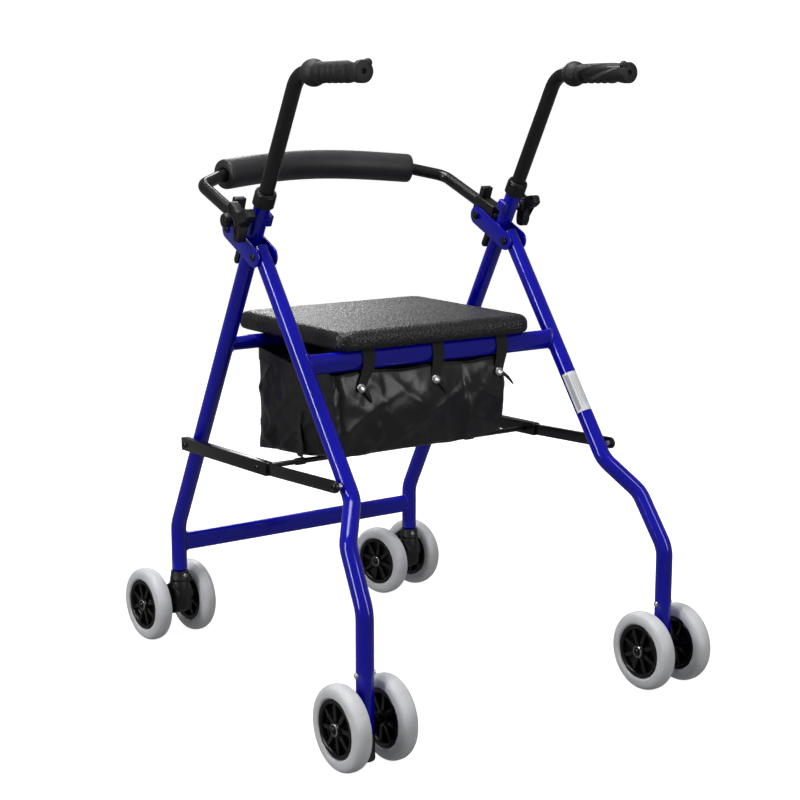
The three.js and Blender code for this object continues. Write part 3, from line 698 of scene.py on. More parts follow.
def brackets():
    for name, x0 in (("hinge_plate_outer", SIDE_X + PLATE_GAP), ("hinge_plate_inner",
                                                                 SIDE_X - PLATE_GAP - PLATE_T)):
        plate = lozenge(name, REAR_PIVOT, BRACKET_FRONT, 0.015, x0, x0 + PLATE_T, edge=0.0008)
        pair(plate, BLUE, "front_frame", "blue_paint", name + "_{side}")
    outer = SIDE_X + PLATE_GAP + PLATE_T
    inner = SIDE_X - PLATE_GAP - PLATE_T
    for label, place, node in (("pivot", REAR_PIVOT, ["rear_pivot_bolt_{side}"]), ("holder", BRACKET_FRONT,
                                                                                   [])):
        shank = turned(label + "_shank", [(0, 0.0038), (outer - inner, 0.0038)], (inner, *place), (1, 0, 0),
                       sides=24)
        outer_head = bolt_head(label + "_head", place, outer)
        nut = start(label + "_nut", bpy.ops.mesh.primitive_cylinder_add, vertices=6, radius=0.0068,
                    depth=0.0045,
                    location=(inner - 0.00225, *place), rotation=(0, math.pi / 2, 0))
        bevel(nut, 0.0005)
        bolt = joined(label + "_bolt", outer_head, shank, nut)
        pair(bolt, BLACK_PAINT, "front_frame", "bolt_steel", *node)


def collars():
    up = -LEG_DOWN
    collar = turned("collar", [
        (-0.0155, LEG_R + 0.0003), (-0.0155, LEG_R + 0.0028), (-0.0145, LEG_R + 0.0036),
        (0.0035, LEG_R + 0.0036),
        (0.0045, LEG_R + 0.0029), (0.0062, LEG_R + 0.0027), (0.0072, LEG_R + 0.0017),
        (0.0072, HANDLE_R + 0.0003),
        (0.0003, HANDLE_R + 0.0003), (0.0003, LEG_R + 0.0003), (-0.0155, LEG_R + 0.0003)],
        right(FRONT_TOP), up, closed=True)
    cut_at = right(FRONT_TOP) + Vector((-LEG_R - 0.004, 0, 0.0015))
    slit = box("slit_tool", cut_at - Vector((0.006, 0.0012, 0.0035)), cut_at + Vector((0.006, 0.0012,
                                                                                       0.0095)), edge=0)
    boolean(collar, slit)
    smooth(collar, 30)
    pair(collar, PLASTIC, "front_frame", "black_plastic", "collar_{side}")


# ------------------------------------------------------------------ handles
def handle_tubes():
    inset = right(FRONT_TOP) + LEG_DOWN * 0.062
    end = right((GRIP_END_Y + 0.01, HANDLE_CORNER[1] + 0.0015))
    piece = tube("handle_tube", [inset, right(HANDLE_CORNER), end], HANDLE_R, bend=0.038, steps=14)
    pair(piece, BLACK_PAINT, "handle_{side}", "black_paint", "handle_tube_{side}")


def grips():
    """Hand grips: ball flange, finger grooves on the outside, a slanting palm flat on the inside."""
    length = FLANGE_Y - GRIP_END_Y
    bore = HANDLE_R + 0.0004
    ball = [(-0.0135, bore), (-0.0135, 0.0128)]
    for i in range(13):
        angle = math.radians(-42 + 84 * i / 12)
        ball.append((0.0195 * math.sin(angle) - 0.0005, 0.0190 * math.cos(angle)))
    ball += [(0.0145, 0.0142), (0.0165, 0.0143)]
    steps = 64
    body_start, body_end = 0.0165, length - 0.0015
    shaft = [(body_start + (body_end - body_start) * i / steps, 0.0146 + 0.0006 * i / steps)
             for i in range(1, steps + 1)]
    rear = [(length - 0.0004, 0.0146), (length, 0.0138), (length, 0.0042), (length - 0.002, 0.0030),
            (length - 0.004, 0.0012)]
    grip = turned("grip", ball + shaft + rear, right((FLANGE_Y, HANDLE_CORNER[1] + 0.0004)), (0, -1, 0.009),
                  sides=72, angle=50)
    centre_z = HANDLE_CORNER[1] + 0.0012
    mesh = edit(grip)
    for vert in mesh.verts:
        along = (FLANGE_Y - vert.co.y) / length
        off = Vector((vert.co.x - SIDE_X, 0, vert.co.z - centre_z))
        if not 0.16 < along < 0.985 or off.length < 0.0135:
            continue
        around = math.atan2(off.z, off.x)
        outside = max(0.0, math.cos(around + 0.9)) ** 0.8
        wave = 0.5 - 0.5 * math.cos(2 * math.pi * (along - 0.2) / 0.118)
        fade = min(1.0, max(0.0, (along - 0.17) / 0.05)) * min(1.0, max(0.0, (0.68 - along) / 0.04))
        notch = math.exp(-((along - 0.8) / 0.055) ** 2)
        vert.co -= off.normalized() * outside * (0.0030 * wave * fade + 0.0036 * notch)
        # The palm flat crosses the inner side from the front's underside up to the rear's top
        slope = math.radians(215 - 120 * min(1.0, max(0.0, (along - 0.2) / 0.72)))
        facing = Vector((math.cos(slope), 0, math.sin(slope)))
        depth = off.dot(facing) - 0.0100
        if depth > 0 and 0.2 < along < 0.93:
            vert.co -= facing * depth * 0.95
    bmesh.update_edit_mesh(grip.data)
    leave()
    smooth(grip, 40)
    ear = start("grip_ear", bpy.ops.mesh.primitive_uv_sphere_add, segments=24, ring_count=16, radius=0.0062,
                location=(SIDE_X - 0.0088, GRIP_END_Y + 0.0048, centre_z + 0.0112), scale=(1.0, 0.9, 1.0))
    smooth(ear, 180)
    whole = joined("grip", grip, ear)
    pair(whole, RUBBER, "handle_{side}", "black_rubber", "grip_{side}")


def star_knobs():
    """Three blunt arms with hollowed sides, a domed face, a hub and a bright stud."""
    x0, x1 = SIDE_X + 0.024, SIDE_X + 0.037
    sides = 72
    star = start("star_knob", bpy.ops.mesh.primitive_cylinder_add, vertices=sides, radius=0.03, depth=x1 - x0,
                 location=((x0 + x1) / 2, *KNOB_AT), rotation=(0, math.pi / 2, 0))
    first = math.radians(160)
    mesh = edit(star)
    for vert in mesh.verts:
        off = Vector((0, vert.co.y - KNOB_AT.x, vert.co.z - KNOB_AT.y))
        if off.length < 0.001:
            continue
        swing = math.atan2(off.z, off.y) - first
        arm = (0.5 + 0.5 * math.cos(3 * swing)) ** 1.7
        reach = 0.0115 + 0.0215 * min(1.0, arm * 1.12)
        vert.co.y = KNOB_AT.x + off.normalized().y * reach
        vert.co.z = KNOB_AT.y + off.normalized().z * reach
    bmesh.update_edit_mesh(star.data)
    bpy.ops.mesh.select_mode(type="FACE")
    mesh = bmesh.from_edit_mesh(star.data)
    for face in mesh.faces:
        face.select_set(face.normal.x > 0.9)
    bmesh.update_edit_mesh(star.data)
    bpy.ops.mesh.inset(thickness=0.0035)
    bpy.ops.transform.translate(value=(0.0016, 0, 0))
    bpy.ops.mesh.inset(thickness=0.0022)
    bpy.ops.transform.translate(value=(-0.0012, 0, 0))
    leave()
    bevel(star, 0.0011, 3, 30)
    hub = turned("knob_hub", [(0.018, 0.0085), (0.019, 0.0092), (0.0248, 0.0098)], (SIDE_X, *KNOB_AT),
                 (1, 0, 0), sides=36)
    knob = joined("star_knob", star, hub)
    pair(knob, PLASTIC, "knob_{side}", "black_plastic", "star_knob_{side}")
    thread = [(LEG_R - 0.001, 0.0036)]
    turns = 9
    for i in range(turns):
        z = LEG_R + 0.0006 * i
        thread += [(z, 0.0036), (z + 0.0003, 0.0041)]
    thread.append((0.0185, 0.0037))
    stud = turned("knob_stud", thread, (SIDE_X, *KNOB_AT), (1, 0, 0), sides=24)
    pair(stud, STEEL, "knob_{side}", "bolt_steel")


# ------------------------------------------------------------------ backrest
def bow_points(count):
    """Half of the foam's bow, from its right end to the middle."""
    points = []
    for i in range(count + 1):
        part = math.sin(math.pi / 2 * i / count)
        points.append(Vector((FOAM_END[0] * (1 - i / count),
                              FOAM_END[1] + (FOAM_MIDDLE[0] - FOAM_END[1]) * part,
                              FOAM_END[2] + (FOAM_MIDDLE[1] - FOAM_END[2]) * part)))
    return points


def swept(name, stations, radius, sides=TUBE_SIDES, angle=40, closed=True):
    """Tube through close stations: each ring is extruded, then turned to the path's new heading."""
    stations = [Vector(p) for p in stations]
    heading = (stations[1] - stations[0]).normalized()
    piece = start(name, bpy.ops.mesh.primitive_circle_add, vertices=sides, radius=radius, fill_type="NOTHING",
                  location=stations[0], rotation=heading.to_track_quat("Z", "Y").to_euler())
    mesh = edit(piece)
    ring = list(mesh.verts)
    for i in range(1, len(stations)):
        after = stations[min(i + 1, len(stations) - 1)]
        new_heading = (after - stations[i - 1]).normalized()
        turn = heading.rotation_difference(new_heading)
        grown = bmesh.ops.extrude_edge_only(mesh,
                                            edges=[e for e in mesh.edges if all(v in ring for v in e.verts)])
        ring_new = [g for g in grown["geom"] if isinstance(g, bmesh.types.BMVert)]
        for vert in ring_new:
            vert.co = stations[i] + turn @ (vert.co - stations[i - 1])
        ring = ring_new
        heading = new_heading
    bmesh.update_edit_mesh(piece.data)
    leave()
    if closed:
        close_and_orient(piece)
    return smooth(piece, angle)


def flipped(points):
    return [Vector((-p.x, p.y, p.z)) for p in reversed(points)]


def arm_points():
    """Right arm of the backrest tube, with its corner rounded to many short steps."""
    a, corner, b = right(BACK_END, ARM_X), right(BACK_CORNER, ARM_X), Vector(FOAM_END)
    bend = 0.024
    back, ahead = (a - corner).normalized(), (b - corner).normalized()
    half = back.angle(ahead) / 2
    centre = corner + (back + ahead).normalized() * bend / math.sin(half)
    begin = corner + back * bend / math.tan(half)
    axis = (begin - centre).cross(corner + ahead * bend / math.tan(half) - centre).normalized()
    steps = 10
    points = [a]
    for i in range(steps + 1):
        turn = Matrix.Rotation((math.pi - 2 * half) * i / steps, 3, axis)
        points.append(centre + turn @ (begin - centre))
    return points


def backrest():
    bow = bow_points(12)
    across = bow + flipped(bow)[1:]
    arm = arm_points()
    bar = swept("backrest_tube", arm + across + flipped(arm), BACK_R)
    finish(bar, BLACK_PAINT, "backrest", "black_paint", "backrest_tube")
    # The sleeve: outer skin with softened rims, running back inside along its bore
    inset = (bow[1] - bow[0]).normalized()
    lead = [bow[0], bow[0] + inset * 0.0012, bow[0] + inset * 0.0028, bow[0] + inset * 0.006]
    path = lead + bow[1:]
    path = path + flipped(path)[1:]
    sides = 64
    foam = swept("backrest_foam", path, FOAM_R, sides=sides, closed=False)
    count = len(path)
    mesh = edit(foam)
    mesh.verts.ensure_lookup_table()
    softened = {0: 0.925, 1: 0.968, 2: 0.99}
    for ring in range(count):
        share = softened.get(ring, softened.get(count - 1 - ring, 1.0))
        for k in range(sides):
            vert = mesh.verts[ring * sides + k]
            vert.co = path[ring] + (vert.co - path[ring]) * share
    bmesh.update_edit_mesh(foam.data)
    bore = (BACK_R + 0.0022) / (FOAM_R * softened[0])
    for end in (path[0], path[-1]):
        bpy.ops.mesh.select_all(action="DESELECT")
        mesh = bmesh.from_edit_mesh(foam.data)
        select(foam, mesh, [e for e in mesh.edges if e.is_boundary and (e.verts[0].co - end).length < FOAM_R])
        bpy.ops.mesh.extrude_region_move()
        bpy.ops.transform.resize(value=(bore, bore, bore), center_override=end)
        bpy.ops.mesh.extrude_region_move(TRANSFORM_OT_translate={
            "value": (path[1] - path[0]).normalized() * 0.012 if end is path[0]
            else (path[-2] - path[-1]).normalized() * 0.012})
    leave()
    close_and_orient(foam)
    smooth(foam, 50)
    finish(foam, FOAM, "backrest", "foam", "backrest_foam")


def holders():
    """Moulded sockets of the backrest arms, with a thumb tab above and a long tongue down the leg's front."""
    angle = math.atan2(BACK_CORNER[1] - BACK_END[1], BACK_CORNER[0] - BACK_END[0])
    end = Vector(BACK_END)

    def local(name, u0, u1, v0, v1, half, edge):
        part = box(name, (ARM_X - half, end.x + u0, end.y + v0), (ARM_X + half, end.x + u1, end.y + v1), edge,
                   3)
        return turn_about_x(part, angle, end)

    body = local("holder_body", -0.006, 0.044, -0.025, 0.013, 0.0112, 0.002)
    tab = local("holder_tab", 0.029, 0.039, 0.010, 0.0305, 0.0095, 0.0014)
    tongue_top = Vector((0.0396, 0.693))
    down = Vector(LEG_DOWN.yz)
    tongue = lozenge("holder_tongue", tongue_top, tongue_top + down * 0.052, 0.0055, SIDE_X - 0.009,
                     SIDE_X + 0.009, 0.0018)
    whole = body
    for part in (tab, tongue):
        boolean(whole, part, "UNION")
    bore = turned("bore_tool", [(-0.001, BACK_R + 0.0004), (0.06, BACK_R + 0.0004)], right(BACK_END, ARM_X),
                  ARM_OUT)
    boolean(whole, bore)
    leg_space = turned("leg_tool", [(0, LEG_R + 0.0003), (0.2, LEG_R + 0.0003)], right(FRONT_TOP), LEG_DOWN)
    boolean(whole, leg_space)
    whole.name = "backrest_holder"
    smooth(whole, 30)
    pair(whole, PLASTIC, "front_frame", "black_plastic", "backrest_holder_{side}")
    low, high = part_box("lock_pin_right")
    place = ((low.y + high.y) / 2, (low.z + high.z) / 2)
    stem = turned("pin_stem", [(0, 0.0028), (0.0115, 0.0028)], (SIDE_X + 0.0098, *place), (1, 0, 0), sides=24)
    pair(stem, STEEL, "pull_pin_{side}", "bolt_steel")
    knob = turned("pin_knob", [(0.0190, 0.0052), (0.0205, 0.0062), (0.0215, 0.0098), (0.0235, 0.0108),
                               (0.0290, 0.0108),
                               (0.0312, 0.0099), (0.0320, 0.0080), (0.0320, 0.001)], (SIDE_X, *place),
                               (1, 0, 0), sides=40)
    pair(knob, PLASTIC, "pull_pin_{side}", "black_plastic", "lock_pin_{side}")


# ------------------------------------------------------------------ side links
def side_links():
    half, wall, height = 0.006, 0.0015, 0.009
    front, mid, rear = Vector(LINK_FRONT), Vector(LINK_MID), Vector(LINK_REAR)
    length = (mid - front).length
    angle = math.atan2(front.y - mid.y, front.x - mid.x)
    channel = box("link_front", (LINK_X - half, front.x - length - 0.026, front.y - height),
                  (LINK_X + half, front.x + 0.010, front.y + height + 0.002), edge=0)
    mesh = edit(channel, "FACE")
    select(channel, mesh, [f for f in mesh.faces if f.normal.z < -0.9])
    bpy.ops.mesh.inset(thickness=wall)
    bpy.ops.mesh.extrude_region_move(TRANSFORM_OT_translate={"value": (0, 0, 2 * height)})
    leave()
    bevel(channel, 0.0006)
    turn_about_x(channel, angle, front)
    leg_pin = turned("leg_pin", [(0, 0.004), (0.0095, 0.004)], (SIDE_X + LEG_R - 0.0005, *front), (1, 0, 0),
                     sides=24)
    parts = [channel, leg_pin]
    for place in (front, mid):
        parts.append(bolt_head("link_rivet", place, LINK_X + half - 0.0001, reach=0.0022, radius=0.005))
    whole = joined("link_front", *parts)
    pair(whole, BLACK_PAINT, "front_links", "black_paint", "link_front_{side}")
    bar = lozenge("link_rear", mid, rear, height - 0.0003, LINK_X - 0.0025, LINK_X + 0.0025, 0.0006)
    end_bolt = bolt_head("end_bolt", rear, LINK_X + 0.0024, reach=0.0026, radius=0.0062)
    bar = joined("link_rear", bar, end_bolt)
    pair(bar, BLACK_PAINT, "rear_links", "black_paint", "link_rear_{side}")
    reach = LINK_X - half - 0.0003
    rod = turned("cross_rod", [(-reach, ROD_R * 0.9), (0.0008 - reach, ROD_R), (reach - 0.0008, ROD_R),
                               (reach, ROD_R * 0.9)],
                 (0, *mid), (1, 0, 0), sides=24)
    finish(rod, BLACK_PAINT, "front_links", "black_paint", "cross_rod")


# ------------------------------------------------------------------ wheels
def build_hub():
    """Moulded hub along X at the origin: rim, thin web, boss and eight tapered spokes on both faces."""
    profile = [(-0.0120, 0.0046), (-0.0120, 0.0100), (-0.0112, 0.0110), (-0.0030, 0.0118), (-0.0024, 0.0125),
               (-0.0024, 0.0330), (-0.0032, 0.0338), (-0.0102, 0.0346), (-0.0112, 0.0352), (-0.0120, 0.0365),
               (-0.0120, 0.0400), (-0.0114, HUB_R)]
    back = [(-along, radius) for along, radius in reversed(profile)]
    hub = turned("hub", profile + back + profile[:1], direction=(1, 0, 0), closed=True, angle=30)
    for i in range(8):
        angle = 2 * math.pi * (i + 0.5) / 8
        spoke = start("spoke", bpy.ops.mesh.primitive_cube_add, size=1, location=(0, 0, 0.0228),
                      scale=(0.0196, 0.0052, 0.0240))
        mesh = edit(spoke, "FACE")
        select(spoke, mesh, [f for f in mesh.faces if f.normal.z < -0.9])
        bpy.ops.transform.resize(value=(1, 1.35, 1))
        leave()
        bevel(spoke, 0.0007)
        turn_about_x(spoke, angle, (0, 0))
        boolean(hub, spoke, "UNION")
    return smooth(hub, 30)


def build_tyre():
    """Cast tyre along X at the origin: round shoulders, a flatter tread with five fine mould lines."""
    inner = HUB_R + 0.0003
    points = [(-0.0100, inner), (-0.0122, inner + 0.0012)]
    steps = 40
    for i in range(steps + 1):
        angle = math.radians(-97 + 194 * i / steps)
        along = TYRE_HALF * math.copysign(abs(math.sin(angle)) ** 0.86, math.sin(angle))
        radius = 0.0468 + (WHEEL_R - 0.0468) * math.copysign(abs(math.cos(angle)) ** 0.72, math.cos(angle))
        line = any(abs(along - place) < 0.0004 for place in (-0.0088, -0.0046, 0.0, 0.0046, 0.0088))
        points.append((along, radius - (0.00045 if line else 0.0)))
    points += [(0.0122, inner + 0.0012), (0.0100, inner), (-0.0100, inner)]
    return turned("tyre", points, direction=(1, 0, 0), closed=True, sides=80, angle=50)


def build_cap():
    """Push-on axle cap, facing +X at the origin."""
    return turned("axle_cap", [(0, 0.0078), (0.0012, 0.0078), (0.0018, 0.0070), (0.0019, 0.0052),
                               (0.0036, 0.0050),
                               (0.0048, 0.0042), (0.0055, 0.0026), (0.0057, 0.0008)], (0.0118, 0, 0),
                               (1, 0, 0), sides=36)


def build_ring():
    """Bright clip ring round the axle cap."""
    return turned("axle_ring", [(0, 0.0078), (0.0007, 0.0088), (0.0014, 0.0084), (0.0016, 0.0074),
                                (0.0006, 0.0072),
                                (0, 0.0078)], (0.0123, 0, 0), (1, 0, 0), sides=36, closed=True)


def put_copy(master, name, matrix):
    pick(master)
    bpy.ops.object.duplicate()
    copy = bpy.context.active_object
    copy.name = name
    copy.matrix_world = matrix @ copy.matrix_world
    bpy.ops.object.transform_apply(location=True, rotation=True, scale=True)
    return copy


def wheels():
    masters = {"hub": build_hub(), "tyre": build_tyre(), "cap": build_cap(), "ring": build_ring()}
    looks = {"hub": (HUB_PLASTIC, "black_plastic"), "tyre": (TYRE, "tyre_grey"), "cap": (HUB_PLASTIC,
                                                                                         "black_plastic"),
             "ring": (STEEL, "bolt_steel")}
    for end in ("front", "rear"):
        for side, sign in (("left", -1), ("right", 1)):
            for place, out in (("outer", 1), ("inner", -1)):
                wheel = f"{end}_{side}_{place}"
                joint = JOINTS[wheel + "_roll"]
                axis = Vector(joint["axis"]) * sign * out
                heading = math.atan2(axis.y, axis.x)
                spread = 17 * len(wheel) + (40 if end == "front" else 0)
                matrix = (Matrix.Translation(Vector(joint["pos_m"])) @ Matrix.Rotation(heading, 4, "Z")
                          @ Matrix.Rotation(math.radians(spread), 4, "X"))
                for kind, master in masters.items():
                    copy = put_copy(master, f"{wheel}_{kind}_piece", matrix)
                    material, slot = looks[kind]
                    nodes = [f"{wheel}_{kind}"] if kind in ("hub", "tyre") else []
                    finish(copy, material, wheel + "_wheel", slot, *nodes)
    for master in masters.values():
        bpy.data.objects.remove(master)


# ------------------------------------------------------------------ casters and rear feet
def build_fork():
    """Caster body at the origin's stem: swivel barrel, rounded cheeks to the axle, axle and spacers."""
    barrel = turned("fork_barrel", [(0.052, 0.0125), (0.055, 0.0152), (0.060, 0.0168), (0.0905, 0.0172),
                                    (0.0925, 0.0166),
                                    (0.0975, 0.0160), (0.1000, 0.0150)], sides=48)
    lead, axle_z = 0.031, WHEEL_R
    cheek = lozenge("fork_cheek", (0.004, 0.078), (lead, axle_z), 0.0185, -0.0175, 0.0175, edge=0.004)
    lower = lozenge("fork_lower", (0.002, 0.060), (lead - 0.002, axle_z - 0.008), 0.0150, -0.0150, 0.0150,
                    edge=0.004)
    boolean(barrel, cheek, "UNION")
    boolean(barrel, lower, "UNION")
    smooth(barrel, 35)
    reach = 0.042 + HUB_HALF - 0.001
    axle = turned("fork_axle", [(-reach, 0.004), (reach, 0.004)], (0, lead, axle_z), (1, 0, 0), sides=24)
    spacers = turned("fork_spacers", [(-0.0295, 0.0072), (-0.0175, 0.0095), (0.0175, 0.0095),
                                      (0.0295, 0.0072)],
                     (0, lead, axle_z), (1, 0, 0), sides=32)
    stem = turned("fork_stem", [(0.099, 0.005), (FRONT_FOOT_Z + 0.03, 0.005)], sides=24)
    return joined("caster_fork", barrel, axle, spacers, stem)


def casters():
    master = build_fork()
    for side, sign in (("left", -1), ("right", 1)):
        stem = pivot(f"caster_swivel_{side}")
        axis = JOINTS[f"front_{side}_outer_roll"]["axis"]
        turn = Matrix.Translation((stem.x, stem.y, 0)) @ Matrix.Rotation(math.atan2(axis[1], axis[0]), 4, "Z")
        fork = put_copy(master, f"caster_fork_{side}_piece", turn)
        finish(fork, PLASTIC, f"caster_{side}", "black_plastic", f"caster_fork_{side}")
    bpy.data.objects.remove(master)
    foot = right((FRONT_BEND[0], 0))
    neck = turned("caster_neck", [(0.1006, 0.0054), (0.1006, 0.0150), (0.1020, 0.0158), (0.1040, 0.0158),
                                  (0.1050, 0.0152),
                                  (0.1150, 0.0147), (0.1172, 0.0138), (0.1172, 0.0128), (0.1157, 0.0122),
                                  (0.1157, 0.0054),
                                  (0.1006, 0.0054)], foot, closed=True)
    pair(neck, PLASTIC, "front_frame", "black_plastic", "caster_neck_{side}")
    bolt = bolt_head("neck_bolt", (0, 0), 0.0146, reach=0.0024, radius=0.0034)
    bolt.location = (SIDE_X, FRONT_BEND[0], 0.1105)
    pick(bolt)
    bpy.ops.object.transform_apply(location=True)
    turn = Matrix.Translation(foot) @ Matrix.Rotation(math.radians(-100), 4, "Z") @ Matrix.Translation(-foot)
    bolt.data.transform(turn)
    pair(bolt, STEEL, "front_frame", "bolt_steel")


def rear_feet():
    x, y = ANKLE[:2]
    post = turned("carrier_post", [(0.051, 0.0085), (0.118, 0.0085)], (x, y, 0), sides=32)
    reach = 0.037 + HUB_HALF - 0.001
    axle = turned("carrier_axle", [(-reach, 0.004), (reach, 0.004)], (x, y, WHEEL_R), (1, 0, 0), sides=24)
    parts = [post, axle]
    for sign in (1, -1):
        parts.append(turned("axle_spacer", [(0.0130, 0.0085), (0.0200, 0.0085), (0.0215, 0.0072),
                                            (0.0247, 0.0068)],
                            (x, y, WHEEL_R), (sign, 0, 0), sides=32))
    carrier = joined("wheel_carrier", *parts)
    pair(carrier, BLACK_PAINT, "carrier_{side}", "black_paint", "wheel_carrier_{side}")
    foot = turned("brake_foot", [(0.0072, 0.0112), (0.0072, 0.0122), (0.0085, 0.0136), (0.0120, 0.0138),
                                 (0.0135, 0.0130),
                                 (0.0150, 0.0137), (0.0165, 0.0130), (0.0180, 0.0136), (0.0420, 0.0132),
                                 (0.0436, 0.0126),
                                 (0.0436, 0.0097), (0.0490, 0.0095)], (x, y, 0), sides=48)
    pair(foot, RUBBER, "rear_frame", "black_rubber", "brake_foot_{side}")
    for name, sign in (("slot_bolt_head", 1), ("slot_bolt_nut", -1)):
        head = turned(name, [(LEG_R - 0.0008, 0.0030), (LEG_R + 0.0006, 0.0042), (LEG_R + 0.0018, 0.0043),
                             (LEG_R + 0.0032, 0.0034), (LEG_R + 0.0040, 0.0018), (LEG_R + 0.0041, 0.0006)],
                      (x, y, SLOT_BOLT_Z), (sign, 0, 0), sides=28)
        pair(head, STEEL, "rear_frame", "bolt_steel")


# ------------------------------------------------------------------ seat
def inflate(piece, cap, voxel, pressure=4.0, frames=20):
    """Puff a closed form with cloth under pressure; no point moves further than cap."""
    modify(piece, "REMESH", mode="VOXEL", voxel_size=voxel)
    rest = [vert.co.copy() for vert in piece.data.vertices]
    pick(piece)
    bpy.ops.object.modifier_add(type="CLOTH")
    cloth_modifier = piece.modifiers[-1]
    settings = cloth_modifier.settings
    settings.use_pressure = True
    settings.uniform_pressure_force = pressure
    settings.effector_weights.gravity = 0
    settings.quality = 4
    for step in range(1, frames + 1):
        bpy.context.scene.frame_set(step)
    shape = piece.evaluated_get(bpy.context.evaluated_depsgraph_get())
    moved = [vert.co.copy() for vert in shape.data.vertices]
    piece.modifiers.remove(cloth_modifier)
    bpy.context.scene.frame_set(1)
    for vert, before, after in zip(piece.data.vertices, rest, moved):
        shift = after - before
        if shift.length > cap:
            shift = shift.normalized() * cap
        vert.co = before + shift
    return piece


def seat():
    low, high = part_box("seat_pad")
    inset = 0.001
    base, top = low.z + 0.0005, high.z - 0.0025
    pad = box("seat_pad_piece", (low.x + inset, low.y + inset, base), (high.x - inset, high.y - inset, top),
              edge=0)
    mesh = edit(pad, "EDGE")
    select(pad, mesh, [e for e in mesh.edges if abs(e.verts[0].co.z - e.verts[1].co.z) > 0.01])
    bpy.ops.mesh.bevel(offset=0.025, segments=10, affect="EDGES")
    bpy.ops.mesh.select_all(action="DESELECT")
    mesh = bmesh.from_edit_mesh(pad.data)
    select(pad, mesh, [e for e in mesh.edges if all(v.co.z > top - 1e-5 for v in e.verts)])
    bpy.ops.mesh.bevel(offset=0.012, segments=6, profile=0.5, affect="EDGES")
    bpy.ops.mesh.select_all(action="DESELECT")
    mesh = bmesh.from_edit_mesh(pad.data)
    select(pad, mesh, [e for e in mesh.edges if all(v.co.z < base + 1e-5 for v in e.verts)])
    bpy.ops.mesh.bevel(offset=0.004, segments=3, affect="EDGES")
    leave()
    inflate(pad, cap=0.0016, voxel=0.004)
    for vert in pad.data.vertices:
        vert.co.z = max(vert.co.z, low.z)
    modify(pad, "SUBSURF", levels=1, render_levels=1)
    smooth(pad, 180)
    finish(pad, SEAT, "seat", "seat_vinyl", "seat_pad")
    board_low, board_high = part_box("seat_board")
    clips = []
    for x in (-0.12, 0.12):
        ring = turned("seat_clip", [(-0.014, BAR_R + 0.0006), (-0.014, BAR_R + 0.0030),
                                    (-0.0130, BAR_R + 0.0036),
                                    (0.0130, BAR_R + 0.0036), (0.014, BAR_R + 0.0030),
                                    (0.014, BAR_R + 0.0006),
                                    (-0.014, BAR_R + 0.0006)], (x, *FRONT_AT_SEAT), (1, 0, 0), sides=40,
                                    closed=True)
        clips.append(ring)
    board = box("board_plate", (board_low.x, board_low.y, low.z - 0.0006), (board_high.x, board_high.y,
                                                                            low.z + 0.0004), edge=0)
    mesh = edit(board, "EDGE")
    select(board, mesh, [e for e in mesh.edges if abs(e.verts[0].co.z - e.verts[1].co.z) > 0.0005])
    bpy.ops.mesh.bevel(offset=0.018, segments=8, affect="EDGES")
    leave()
    whole = joined("seat_board_piece", board, *clips)
    finish(whole, PLASTIC, "seat", "black_plastic", "seat_board")


# ------------------------------------------------------------------ bag
STRAP_X = (-0.123, 0.001, 0.121)
STRAP_HALF = 0.0112
STRAP_LEAN = (-0.018, -0.009, -0.010)
TIP_LEAN = (0.004, 0.012, 0.020)
# The bag's front edge hangs higher than its rear one, and stays back from the seat as it flips up
BAG_FRONT_RISE = 0.015
BAG_SET_BACK = 0.004


def crease(along, height, seed):
    """Crumple of the bag's cloth: broad slack swells and a few bold folds, slantwise from the straps."""
    slack = noise.noise(Vector((along * 11, height * 9, seed)))
    small = noise.fractal(Vector((along * 30, height * 26, seed)), 1.0, 2.0, 3)
    fold = 1 - abs(noise.noise(Vector((along * 13 + height * 15, height * 5, seed + 3.1)))) * 2.2
    fan = 1 - abs(noise.noise(Vector((along * 10 - height * 17, along * 4, seed + 7.7)))) * 2.2
    return 0.0080 * slack + 0.0021 * small + 0.0034 * max(0.0, fold) ** 3 + 0.0030 * max(0.0, fan) ** 3


def rounded_outline(low, high, radius, spacing):
    """Points round a rectangle with round corners, seen from above, a little over the spacing apart."""
    corners = [(high.x, high.y, 0), (low.x, high.y, 90), (low.x, low.y, 180), (high.x, low.y, 270)]
    outline = []
    for i, (x, y, first) in enumerate(corners):
        centre = Vector((x - math.copysign(radius, x - (low.x + high.x) / 2),
                         y - math.copysign(radius, y - (low.y + high.y) / 2)))
        for k in range(5):
            angle = math.radians(first + 22.5 * k)
            outline.append(centre + radius * Vector((math.cos(angle), math.sin(angle))))
        after = corners[(i + 1) % 4]
        first_after = math.radians(after[2])
        goal = Vector((after[0] - math.copysign(radius, after[0] - (low.x + high.x) / 2),
                       after[1] - math.copysign(radius, after[1] - (low.y + high.y) / 2)))
        goal += radius * Vector((math.cos(first_after), math.sin(first_after)))
        begin = outline[-1]
        count = int((goal - begin).length / spacing)
        outline += [begin.lerp(goal, k / count) for k in range(1, count)]
    return outline


def outline_wall(name, outline, top, drop, levels):
    """Upright wall along an outline: a ring placed on it, extruded downwards level by level."""
    wall = start(name, bpy.ops.mesh.primitive_circle_add, vertices=len(outline), radius=0.1,
                 fill_type="NOTHING")
    mesh = edit(wall)
    mesh.verts.ensure_lookup_table()
    for vert, place in zip(mesh.verts, outline):
        vert.co = (place.x, place.y, top)
    bmesh.update_edit_mesh(wall.data)
    bpy.ops.mesh.select_all(action="SELECT")
    for _ in range(levels):
        bpy.ops.mesh.extrude_region_move(TRANSFORM_OT_translate={"value": (0, 0, -drop / levels)})
    return wall


def strap_sag(x, y, rim_low):
    """How far the bag's mouth hangs down between the straps that carry it."""
    nearest = min(abs(x - strap) for strap in STRAP_X)
    return 0.0036 * min(1.0, nearest / 0.055) ** 1.5 if y < rim_low else 0.0018


